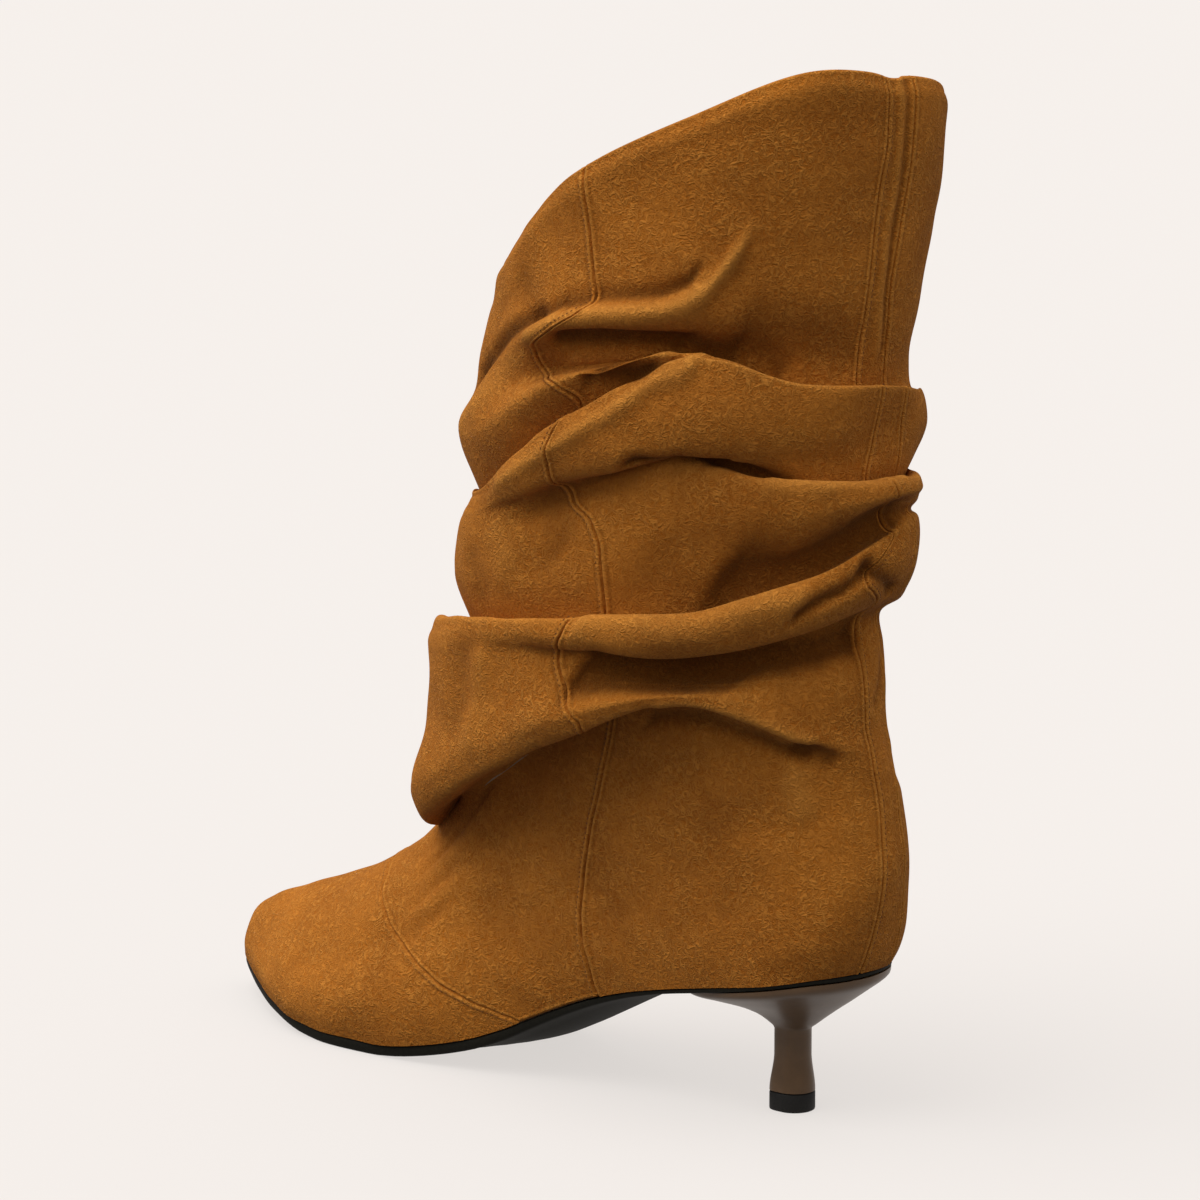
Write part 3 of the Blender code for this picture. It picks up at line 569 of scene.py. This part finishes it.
def leatherPanel(name, low, high, across, seams, bottom=None, up=400):
    rows, degrees = panelPoints(low, high, across, up, bottom)
    points, normal = finishedPoints(rows, degrees, seams)
    # painted shade in folds and painted highlight on bulges
    lift = paintedShadeAndHighlight(points, normal, creaseShape(rows, degrees))
    points = turnedEdge(points, normal)
    piece = gridPiece(name, points)
    storePaintedShade(piece, lift, points.shape[:2])
    faceOutward(piece, not pointsOut(piece, normal))
    print("panel", name, len(piece.data.polygons), "faces")
    return piece


def vampPanel():
    # grid in rings: the first line is the sole's edge, the last the seam behind the toes
    across, up = 260, 110
    degrees = np.linspace(82.6, 277.4, across)[None, :] * np.ones((up, 1))
    top = np.interp(vampSeam(degrees[0]), ringNumber, ringPlace)
    rows = np.interp(np.linspace(0, 1, up)[:, None] * top[None, :], ringPlace, ringNumber)
    points, normal = finishedPoints(rows, degrees, (None, None, None, seamLook))
    piece = gridPiece("vamp", points)
    # painted shade in folds and painted highlight on bulges
    storePaintedShade(piece, paintedShadeAndHighlight(points, normal, np.zeros(rows.shape)), points.shape[:2])
    faceOutward(piece, not pointsOut(piece, normal))
    return piece


frontPanel = leatherPanel("shaftFront", sideSeam, lambda rows: 360 + innerSeam(rows), 220,
                          (sideSeamLook, seamLook, seamLook, None), bottom=vampSeam)
outerPanel = leatherPanel("quarterOuter", backSeam, sideSeam, 136, (seamLook, sideSeamLook, None, None), up=560)
stripPanel = leatherPanel("backStrip", stripEdge, backSeam, 34, (seamLook, seamLook, None, None), up=480)
innerPanel = leatherPanel("quarterInner", innerSeam, stripEdge, 110, (seamLook, seamLook, None, None))
vamp = vampPanel()


liningLook = {"around": 200, "footRows": 90, "footTop": 7.92, "levels": 120, "readRows": 520, "belowEdge": 0.003,
              "clear": 0.0010, "frontDrop": 0.005, "frontAt": 140, "frontSpan": 20}


def liningPiece():
    # along the foot it follows the leather; in the shaft it hangs straighter, inside every fold
    around = np.linspace(0, 360, liningLook["around"])
    share = np.linspace(0.03, 1, liningLook["footRows"])[:, None]
    footTop = float(np.interp(liningLook["footTop"], ringNumber, ringPlace))
    rows = np.interp(share * footTop, ringPlace, ringNumber) * np.ones((1, len(around)))
    degrees = around[None, :] * np.ones(rows.shape)
    foot = leather(rows, degrees)
    under = boot["wall"] + 0.0005 + 0.0014 * ease((rows - 6.6) / 1.2)
    under = under - creaseShape(rows, degrees, wider=1.0, hollowsOnly=True)
    foot = foot - outward(foot, rows, degrees) * under[..., None]
    heightsRead = np.linspace(ringPlace[len(footRings)], ringPlace[-1], liningLook["readRows"])
    rows = np.interp(heightsRead, ringPlace, ringNumber)[:, None] * np.ones((1, len(around)))
    degrees = around[None, :] * np.ones(rows.shape)
    outer = leather(rows, degrees)
    folded = creaseShape(rows, degrees, wider=1.0, hollowsOnly=True)
    angle = np.radians(around)
    half = np.where(np.sin(angle) >= 0, boot["shaftHalfWidthOut"], boot["shaftHalfWidthIn"])
    middle = np.stack([boot["shaftMiddle"] - boot["shaftHalfLength"] * np.cos(angle), half * np.sin(angle)], -1)
    away = unit(np.stack([-np.cos(angle) / boot["shaftHalfLength"], np.sin(angle) / half], -1))
    out = ((outer[..., :2] - middle) * away).sum(-1) + folded
    level = np.linspace(0, 1, liningLook["levels"])[:, None]
    drop = np.exp(-((np.mod(around + 180, 360) - liningLook["frontAt"]) / liningLook["frontSpan"]) ** 2)
    top = outer[-1, :, 2] - liningLook["belowEdge"] - liningLook["frontDrop"] * drop
    heights = outer[0, :, 2] + (top - outer[0, :, 2]) * level
    inner = np.empty(heights.shape)
    for k in range(len(around)):
        near = np.abs(outer[:, k, 2] - heights[:, k, None]) < 0.002 + 0.0035 * (1 - level ** 6)
        inner[:, k] = np.where(near, out[:, k], 1).min(1)
    for _ in range(3):
        inner[1:-1] = (inner[:-2] + inner[1:-1] + inner[2:]) / 3
        inner = (np.roll(inner, 1, 1) + inner + np.roll(inner, -1, 1)) / 3
    inner = inner - boot["wall"] - liningLook["clear"] - 0.0012 * (1 - ease(level / 0.12))
    shaft = np.concatenate([middle + away * inner[..., None], heights[..., None]], -1)
    shaft[:, -1] = shaft[:, 0]
    piece = gridPiece("lining", np.concatenate([foot, shaft]))
    # its faces look outwards, away from the leg
    faces = np.empty(len(piece.data.polygons) * 3)
    piece.data.polygons.foreach_get("normal", faces)
    lastRow = faces.reshape(-1, 3)[1 - len(around):, :2]
    faceOutward(piece, (lastRow * ((boot["shaftMiddle"], 0) - middle[:-1])).sum() > 0)
    return piece


lining = liningPiece()
print("upper made")


def roundPiece(name, loops):
    # a grid wrapped round loop by loop; its first and last loop run together and close the piece
    piece = gridPiece(name, np.array([np.vstack([loop, loop[:1]]) for loop in loops]))
    bpy.context.view_layer.objects.active = piece
    bpy.ops.object.mode_set(mode="EDIT")
    bpy.ops.mesh.select_all(action="SELECT")
    bpy.ops.mesh.remove_doubles(threshold=0.000004)
    bpy.ops.mesh.dissolve_degenerate(threshold=0.000001)
    bpy.ops.mesh.select_all(action="SELECT")
    bpy.ops.mesh.normals_make_consistent(inside=False)
    bpy.ops.object.mode_set(mode="OBJECT")
    bpy.ops.object.shade_smooth_by_angle(angle=math.radians(50))
    return piece


def soleTop(x):
    return feather(x) - boot["gap"]


def soleThick(x):
    share = ease((x / boot["soleLength"] - 0.2) / 0.3)
    return boot["seatThickness"] + (boot["soleThickness"] - boot["seatThickness"]) * share


def soleBottom(x):
    return soleTop(x) - soleThick(x)


def flatLoop(inset, height, count=220):
    points, x = soleOutline(inset, count)
    return np.column_stack([points, height(x)])


def spineLoop(height, count=220):
    # the outline drawn in to its middle line
    angle = np.linspace(0, 2 * np.pi, count, endpoint=False)
    x = boot["soleLength"] * (0.012 + 0.976 * (1 - np.cos(angle)) / 2)
    return np.column_stack([x, middleLine(x), height(x)])


soleParts = {"inset": insetSole, "bevel": 0.0008, "crown": 0.0050, "crownFrom": 0.20, "crownLength": 0.42,
             "topRim": 0.004, "underRim": 0.006}
insoleParts = {"inset": 0.0032, "thickness": 0.0016}


def crownLoop(share):
    # the underside, rounded across at the waist
    edge, spine = flatLoop(soleParts["underRim"], soleBottom), spineLoop(soleBottom)
    loop = spine + (edge - spine) * share
    along = np.clip((loop[:, 0] / boot["soleLength"] - soleParts["crownFrom"]) / soleParts["crownLength"], 0, 1)
    loop[:, 2] -= soleParts["crown"] * np.sin(np.pi * along) ** 2 * (1 - share ** 2)
    return loop


outsole = roundPiece("outsoleFine", [
    spineLoop(soleTop), flatLoop(soleParts["topRim"], soleTop), flatLoop(soleParts["inset"] + 0.0003, soleTop),
    flatLoop(soleParts["inset"], lambda x: soleTop(x) - 0.12 * soleThick(x)),
    flatLoop(soleParts["inset"], lambda x: soleBottom(x) + 0.35 * soleThick(x)),
    flatLoop(soleParts["inset"] + 0.0002, lambda x: soleBottom(x) + 0.15 * soleThick(x)),
    flatLoop(soleParts["inset"] + soleParts["bevel"], soleBottom),
    *(crownLoop(share) for share in (1, 0.8, 0.6, 0.4, 0.2, 0))])
insole = roundPiece("insoleFine", [
    spineLoop(lambda x: feather(x) + insoleParts["thickness"]),
    flatLoop(insoleParts["inset"] + 0.0013, lambda x: feather(x) + insoleParts["thickness"]),
    flatLoop(insoleParts["inset"] + 0.0002, lambda x: feather(x) + insoleParts["thickness"] - 0.0001),
    flatLoop(insoleParts["inset"], lambda x: feather(x) + insoleParts["thickness"] - 0.0005),
    flatLoop(insoleParts["inset"], feather), spineLoop(feather)])

heelSizes = {"cup": 0.062, "stemPlace": 0.0285, "stemTop": 0.0254, "stem": 0.0052, "liftHalf": 0.0064,
             "lift": 0.0058, "around": 96}
heelRings = ((1, 0, 0), (0.997, 0.05, 0.06), (0.985, 0.1, 0.1), (0.95, 0.15, 0.13), (0.9, 0.2, 0.16),
    (0.82, 0.27, 0.19), (0.74, 0.34, 0.22), (0.65, 0.42, 0.26), (0.56, 0.5, 0.3), (0.47, 0.575, 0.345),
    (0.38, 0.65, 0.4), (0.3, 0.72, 0.47), (0.22, 0.79, 0.55), (0.155, 0.85, 0.64), (0.1, 0.9, 0.74),
    (0.06, 0.935, 0.82), (0.03, 0.96, 0.88), (0.01, 0.98, 0.94), (0, 1, 1))


def stemSection(half, angle):
    x, y = -np.cos(angle), np.sin(angle)
    power = np.where(x > 0, 4.0, 2.0)
    size = (np.abs(x) ** power + np.abs(y) ** power) ** (1 / power)
    return heelSizes["stemPlace"] + half * x / size, half * y / size


def heelPiece():
    angle = np.linspace(0, 2 * np.pi, heelSizes["around"], endpoint=False)
    x = heelSizes["cup"] * (1 - np.cos(angle)) / 2
    closing = (1 - np.clip(x / heelSizes["cup"], 0, 1) ** 5) ** 0.5
    width = (halfWidth(x, np.sin(angle)) - insetSole) * np.sign(np.round(np.sin(angle), 9)) * closing
    seatX = x - 0.006 * boot["soleLength"] * (1 - ease(x / (0.27 * boot["soleLength"]))) + insetSole
    seatZ = soleBottom(np.clip(seatX, 0, boot["soleLength"])) - boot["gap"]
    stemX, stemY = stemSection(heelSizes["stem"], angle)
    front = (1 - np.cos(angle)) / 2
    loops = [np.column_stack([seatX, np.zeros(len(angle)), seatZ])]
    for out, dropBack, dropFront in heelRings:
        drop = dropBack * (1 - front) + dropFront * front
        loops.append(np.column_stack([stemX + (seatX - stemX) * out, stemY + (width - stemY) * out,
                                      seatZ + (heelSizes["stemTop"] - seatZ) * drop]))
    foot = heelSizes["lift"] + boot["gap"]
    for share in np.linspace(0.9, 0, 12):
        half = heelSizes["liftHalf"] + (heelSizes["stem"] - heelSizes["liftHalf"]) * ease(share / 0.6)
        stemX, stemY = stemSection(half, angle)
        loops.append(np.column_stack([stemX, stemY, np.full(len(angle), foot + (heelSizes["stemTop"] - foot) * share)]))
    loops.append(np.full((len(angle), 3), (heelSizes["stemPlace"], 0, foot)))
    return roundPiece("heelFine", loops)


heel = heelPiece()


# half width and height of each loop of the top lift
liftLoops = ((0, 0.0058), (0.0058, 0.0058), (0.0062, 0.0057), (0.0064, 0.0054), (0.0064, 0.0006), (0.0063, 0.0002),
             (0.0060, 0.0), (0, 0.0))


def liftPiece():
    angle = np.linspace(0, 2 * np.pi, heelSizes["around"], endpoint=False)
    loops = []
    for half, height in liftLoops:
        x, y = stemSection(half, angle)
        loops.append(np.column_stack([x, y, np.full(len(angle), height)]))
    return roundPiece("topLiftFine", loops)


topLift = liftPiece()
print("sole and heel made")

# Stitches: short rounded bars along the seams
stitchLook = {"pitch": 0.0017, "length": 0.0009, "radius": 0.00016, "away": 0.0015, "sink": 0.00005}


def seamLine(rows, degrees, sideways, look):
    points = leather(rows, degrees)
    normal = outward(points, rows, degrees)
    run = unit(np.gradient(points, axis=0))
    side = unit(np.cross(normal, run))
    lifted = points + side * sideways
    size = np.linalg.norm(leather(rows, degrees + 0.5) - leather(rows, degrees - 0.5), axis=-1)
    turned = degrees + np.sign(((leather(rows, degrees + 0.5) - points) * side).sum(-1)) * sideways / size
    shape = wander(points) + seamShape(np.array(abs(sideways)), look) + creaseShape(rows, turned)
    lifted[..., 2] -= collarFall(rows, degrees)
    return lifted + normal * shape[..., None], normal


def stitchRow(points, normal):
    step = np.linalg.norm(np.diff(points, axis=0), axis=-1)
    length = np.concatenate([[0], np.cumsum(step)])
    marks = np.arange(0.001, length[-1] - 0.002, stitchLook["pitch"])
    out = []
    for mark in marks:
        ends = [np.array([np.interp(mark + k * stitchLook["length"], length, points[:, c]) for c in range(3)])
                for k in (0, 1)]
        up = np.array([np.interp(mark, length, normal[:, c]) for c in range(3)])
        out.append((ends[0], ends[1], up))
    return out


def oneStitch():
    # a small ball drawn out to a bar one unit long
    deselect()
    bpy.ops.mesh.primitive_uv_sphere_add(segments=6, ring_count=5, radius=1)
    ball = bpy.context.object
    places = np.empty(len(ball.data.vertices) * 3)
    ball.data.vertices.foreach_get("co", places)
    faces = [tuple(face.vertices) for face in ball.data.polygons]
    bpy.ops.object.delete()
    return places.reshape(-1, 3), faces


def stitchMesh(name, stitches):
    ball, ballFaces = oneStitch()
    verts, faces = [], []
    for start, end, up in stitches:
        run = unit(end - start)
        up = unit(up - run * (up @ run))
        across = np.cross(run, up)
        base = len(verts)
        centre = (start + end) / 2 - up * stitchLook["sink"] + shift
        for x, y, z in ball:
            verts.append(centre + (across * x + up * y) * stitchLook["radius"] + run * z * stitchLook["length"] / 2)
        faces += [tuple(base + corner for corner in face) for face in ballFaces]
    mesh = bpy.data.meshes.new(name)
    mesh.from_pydata([tuple(v) for v in verts], [], faces)
    mesh.update()
    mesh.shade_smooth()
    piece = bpy.data.objects.new(name, mesh)
    bpy.context.scene.collection.objects.link(piece)
    return piece


allStitches = []
fineRows = np.interp(np.linspace(0.003, 0.995, 1600) * ringPlace[-1], ringPlace, ringNumber)
for seam, look, offsets in ((sideSeam, sideSeamLook, (stitchLook["away"],)),
                            (backSeam, seamLook, (-stitchLook["away"],)),
                            (lambda rows: 360 + innerSeam(rows), seamLook, (-stitchLook["away"], stitchLook["away"]))):
    for offset in offsets:
        allStitches += stitchRow(*seamLine(fineRows, seam(fineRows), offset, look))
vampDegrees = np.linspace(83, 277, 900)
allStitches += stitchRow(*seamLine(vampSeam(vampDegrees), vampDegrees, stitchLook["away"], seamLook))
stitches = stitchMesh("stitches", allStitches)
print("stitches", len(allStitches))

# Materials
# the darkest colour here is painted shade for hollows and folds; ridges are mixed towards the fibre colour as a painted
# highlight with rubbed wear
suedeLook = {"dark": (0.355, 0.102, 0.0095), "mid": (0.50, 0.156, 0.0160), "fibre": (0.86, 0.38, 0.072),
             "paintedShadeColour": (0.085, 0.022, 0.003), "curls": 480, "fineCurls": 1050, "curlWidth": 0.10,
             "fineWidth": 0.12, "fineShare": 0.5, "fibreShare": 0.42, "mottle": 32, "clusterLow": 0.60, "wearAndPaintedHighlight": 0.42,
             "paintedHollowShade": 0.72, "bump": 0.70, "bumpDepth": 0.0009, "roughness": 0.95, "specular": 0.05, "sheen": 0.12,
             "sheenRoughness": 0.35, "sheenTint": (1.0, 0.55, 0.2)}


def newMaterial(name):
    material = bpy.data.materials.new(name)
    material.use_nodes = True
    nodes = material.node_tree.nodes
    return material, nodes, material.node_tree.links, nodes["Principled BSDF"]


def addNode(nodes, kind, **settings):
    node = nodes.new(kind)
    for key, value in settings.items():
        if key in node.inputs:
            node.inputs[key].default_value = value
        else:
            setattr(node, key, value)
    return node


def mathNode(nodes, links, operation, first, second=None, third=None):
    node = addNode(nodes, "ShaderNodeMath", operation=operation)
    for i, value in enumerate((first, second, third)):
        if value is None:
            continue
        if isinstance(value, (int, float)):
            node.inputs[i].default_value = value
        else:
            links.new(value, node.inputs[i])
    return node.outputs[0]


def rangeNode(nodes, links, value, **limits):
    node = addNode(nodes, "ShaderNodeMapRange")
    for key, limit in limits.items():
        node.inputs[key].default_value = limit
    links.new(value, node.inputs["Value"])
    return node.outputs["Result"]


def curlNoise(nodes, links, place, scale, width):
    # thin winding lines where the noise passes its middle
    noise = addNode(nodes, "ShaderNodeTexNoise", Scale=scale, Detail=1.5, Roughness=0.5, Distortion=0.8)
    links.new(place.outputs["Object"], noise.inputs["Vector"])
    away = mathNode(nodes, links, "ABSOLUTE", mathNode(nodes, links, "SUBTRACT", noise.outputs["Fac"], 0.5))
    line = mathNode(nodes, links, "SUBTRACT", 1.0, mathNode(nodes, links, "DIVIDE", away, width))
    return mathNode(nodes, links, "MAXIMUM", line, 0.0)


def mixColour(nodes, links, share, first, second):
    mix = nodes.new("ShaderNodeMix")
    mix.data_type = "RGBA"
    for socket, value in zip((mix.inputs[0], mix.inputs[6], mix.inputs[7]), (share, first, second)):
        if isinstance(value, (int, float)):
            socket.default_value = value
        elif isinstance(value, tuple):
            socket.default_value = (*value, 1)
        else:
            links.new(value, socket)
    return mix.outputs[2]


def suedeMaterial(name, look=suedeLook):
    material, nodes, links, shader = newMaterial(name)
    place = nodes.new("ShaderNodeTexCoord")
    # patches where the nap lies another way
    patch = addNode(nodes, "ShaderNodeTexNoise", Scale=look["mottle"], Detail=4.0, Roughness=0.52, Distortion=0.5)
    links.new(place.outputs["Object"], patch.inputs["Vector"])
    cluster = addNode(nodes, "ShaderNodeTexNoise", Scale=look["mottle"] * 2.3, Detail=2.0, Roughness=0.5)
    links.new(place.outputs["Object"], cluster.inputs["Vector"])
    spread = rangeNode(nodes, links, cluster.outputs["Fac"], **{"From Min": 0.38, "From Max": 0.62,
                                                                "To Min": look["clusterLow"], "To Max": 1.0})
    curls = mathNode(nodes, links, "MULTIPLY", curlNoise(nodes, links, place, look["curls"], look["curlWidth"]),
                     spread)
    fine = mathNode(nodes, links, "MULTIPLY", curlNoise(nodes, links, place, look["fineCurls"], look["fineWidth"]),
                    look["fineShare"])
    fibres = mathNode(nodes, links, "MAXIMUM", curls, fine)
    shade = rangeNode(nodes, links, patch.outputs["Fac"], **{"From Min": 0.3, "From Max": 0.62})
    base = mixColour(nodes, links, shade, look["dark"], look["mid"])
    # edges and ridges get a painted highlight, partly rubbed wear, and hollows get painted shade
    paintedShadeNode = nodes.new("ShaderNodeAttribute")
    paintedShadeNode.attribute_name = "paintedShadeAndHighlight"
    wearAndPaintedHighlight, paintedHollowShade = (mathNode(nodes, links, "MAXIMUM", mathNode(nodes, links, "MULTIPLY", paintedShadeNode.outputs["Fac"], part), 0.0)
                    for part in (look["wearAndPaintedHighlight"], -look["paintedHollowShade"]))
    colour = mixColour(nodes, links, wearAndPaintedHighlight, base, look["fibre"])
    share = mathNode(nodes, links, "MULTIPLY", fibres, look["fibreShare"])
    colour = mixColour(nodes, links, share, colour, look["fibre"])
    # painted shade: the darkest colour laid into folds and hollows
    colour = mixColour(nodes, links, paintedHollowShade, colour, look["paintedShadeColour"])
    links.new(colour, shader.inputs["Base Color"])
    grain = addNode(nodes, "ShaderNodeTexNoise", Scale=look["fineCurls"] * 1.8, Detail=2.0, Roughness=0.7,
                    Distortion=1.0)
    links.new(place.outputs["Object"], grain.inputs["Vector"])
    height = mathNode(nodes, links, "MULTIPLY_ADD", grain.outputs["Fac"], 0.5, fibres)
    bump = addNode(nodes, "ShaderNodeBump", Strength=look["bump"], Distance=look["bumpDepth"])
    links.new(height, bump.inputs["Height"])
    links.new(bump.outputs["Normal"], shader.inputs["Normal"])
    shader.inputs["Roughness"].default_value = look["roughness"]
    shader.inputs["Specular IOR Level"].default_value = look["specular"]
    shader.inputs["Sheen Weight"].default_value = look["sheen"]
    shader.inputs["Sheen Roughness"].default_value = look["sheenRoughness"]
    shader.inputs["Sheen Tint"].default_value = (*look["sheenTint"], 1)
    return material


def plainMaterial(name, colour, roughness, speckle=0.0, scale=400, bump=0.1, specular=0.5):
    material, nodes, links, shader = newMaterial(name)
    place = nodes.new("ShaderNodeTexCoord")
    grain = addNode(nodes, "ShaderNodeTexNoise", Scale=scale, Detail=4.0, Roughness=0.6)
    links.new(place.outputs["Object"], grain.inputs["Vector"])
    ramp = nodes.new("ShaderNodeValToRGB")
    for element, position, share in zip(ramp.color_ramp.elements, (0.35, 0.65), (1 - speckle, 1 + speckle)):
        element.position = position
        element.color = (*(c * share for c in colour), 1)
    links.new(grain.outputs["Fac"], ramp.inputs["Fac"])
    links.new(ramp.outputs["Color"], shader.inputs["Base Color"])
    lift = addNode(nodes, "ShaderNodeBump", Strength=bump, Distance=0.0002)
    links.new(grain.outputs["Fac"], lift.inputs["Height"])
    links.new(lift.outputs["Normal"], shader.inputs["Normal"])
    shader.inputs["Roughness"].default_value = roughness
    shader.inputs["Specular IOR Level"].default_value = specular
    return material


suede = suedeMaterial("suede")
thread = plainMaterial("thread", (0.20, 0.070, 0.013), 0.8, 0.2, 2500, 0.2, specular=0.2)
liningLeather = plainMaterial("liningLeather", (0.36, 0.22, 0.115), 0.7, 0.15, 900, 0.3)
heelLacquer = plainMaterial("heelLacquer", (0.112, 0.058, 0.023), 0.38, 0.10, 160, 0.03, specular=0.3)
liftRubber = plainMaterial("liftRubber", (0.010, 0.009, 0.008), 0.6, 0.2, 1500, 0.2, specular=0.2)
soleRubber = plainMaterial("soleRubber", (0.010, 0.009, 0.006), 0.7, 0.25, 1200, 0.2, specular=0.08)


def dress(piece, material, slotName, *nodes):
    piece.data.materials.clear()
    piece.data.materials.append(material)
    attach(piece, "root")
    if nodes:
        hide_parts(*nodes)


for panel in (frontPanel, outerPanel, stripPanel, innerPanel, vamp):
    dress(panel, suede, "suede", "upper")
dress(stitches, thread, "suede")
dress(lining, liningLeather, "board")
dress(insole, liningLeather, "board", "insole")
dress(outsole, soleRubber, "sole", "outsole")
dress(heel, heelLacquer, "heel", "heel")
dress(topLift, liftRubber, "lift", "top_lift")
print("materials done")

# Camera at the photograph's angle: behind, towards the outer side
cameraLook = {"azimuth": 50.0, "rise": 11.5, "away": 2.0, "lens": 6521.1 * 36 / 1200,
              "target": (0.10549, 0.0, 0.1474)}
turn, rise = math.radians(cameraLook["azimuth"]), math.radians(cameraLook["rise"])
target = Vector(cameraLook["target"]) + Vector(shift)
back = Vector((-math.cos(turn) * math.cos(rise), math.sin(turn) * math.cos(rise), math.sin(rise)))
cameraData = bpy.data.cameras.new("photoCamera")
cameraData.sensor_fit = "HORIZONTAL"
cameraData.sensor_width = 36
cameraData.lens = cameraLook["lens"]
cameraData.clip_end = 100
camera = bpy.data.objects.new("photoCamera", cameraData)
camera.location = target + back * cameraLook["away"]
camera.rotation_euler = (-back).to_track_quat("-Z", "Y").to_euler()
bpy.context.scene.collection.objects.link(camera)
bpy.context.scene.camera = camera

# Floor, soft light from above and a paler sky than ground, so that hollows and undersides stay dark
studio = {"floor": (0.862, 0.818, 0.785), "litShare": 0.22, "key": 2.0, "keySpread": 60, "keyFrom": (0.30, 0.38, 0.88),
          "skyTop": 0.62, "skySide": 0.38, "ground": 0.10}
deselect()
bpy.ops.mesh.primitive_plane_add(size=30, location=(0, 0, -0.0001))
floor = bpy.context.object
floor.name = "studioFloor"
floorPaper = bpy.data.materials.new("floorPaper")
floorPaper.use_nodes = True
floorShader = floorPaper.node_tree.nodes["Principled BSDF"]
floorShader.inputs["Base Color"].default_value = (*(studio["litShare"] * c for c in studio["floor"]), 1)
floorShader.inputs["Emission Color"].default_value = (*studio["floor"], 1)
floorShader.inputs["Emission Strength"].default_value = 1 - studio["litShare"]
floorShader.inputs["Roughness"].default_value = 1.0
floorShader.inputs["Specular IOR Level"].default_value = 0.0
floor.data.materials.append(floorPaper)
floor.visible_diffuse = False

keyData = bpy.data.lights.new("keyLight", "SUN")
keyData.energy = studio["key"]
keyData.angle = math.radians(studio["keySpread"])
keyData.color = (1.0, 0.985, 0.965)
keyLight = bpy.data.objects.new("keyLight", keyData)
keyLight.rotation_euler = Vector(studio["keyFrom"]).to_track_quat("Z", "Y").to_euler()
keyLight.location = (0.6, 0.8, 1.8)
bpy.context.scene.collection.objects.link(keyLight)

world = bpy.data.worlds.new("studioWorld")
bpy.context.scene.world = world
world.use_nodes = True
skyNodes, skyLinks = world.node_tree.nodes, world.node_tree.links
skyPlace = skyNodes.new("ShaderNodeTexCoord")
skySplit = skyNodes.new("ShaderNodeSeparateXYZ")
skyLinks.new(skyPlace.outputs["Generated"], skySplit.inputs[0])
skyRamp = skyNodes.new("ShaderNodeValToRGB")
skyRise = mathNode(skyNodes, skyLinks, "MULTIPLY_ADD", skySplit.outputs["Z"], 0.5, 0.5)
skyLinks.new(skyRise, skyRamp.inputs["Fac"])
for element, place, value in zip((skyRamp.color_ramp.elements[0], skyRamp.color_ramp.elements[1],
                                  skyRamp.color_ramp.elements.new(0.5)), (0.40, 1.0, 0.56),
                                 (studio["ground"], studio["skyTop"], studio["skySide"])):
    element.position = place
    element.color = (value, value * 0.985, value * 0.965, 1)
skyLinks.new(skyRamp.outputs["Color"], skyNodes["Background"].inputs["Color"])
bpy.context.scene.view_settings.view_transform = "Standard"
bpy.context.scene.view_settings.look = "None"
print("camera and light set")
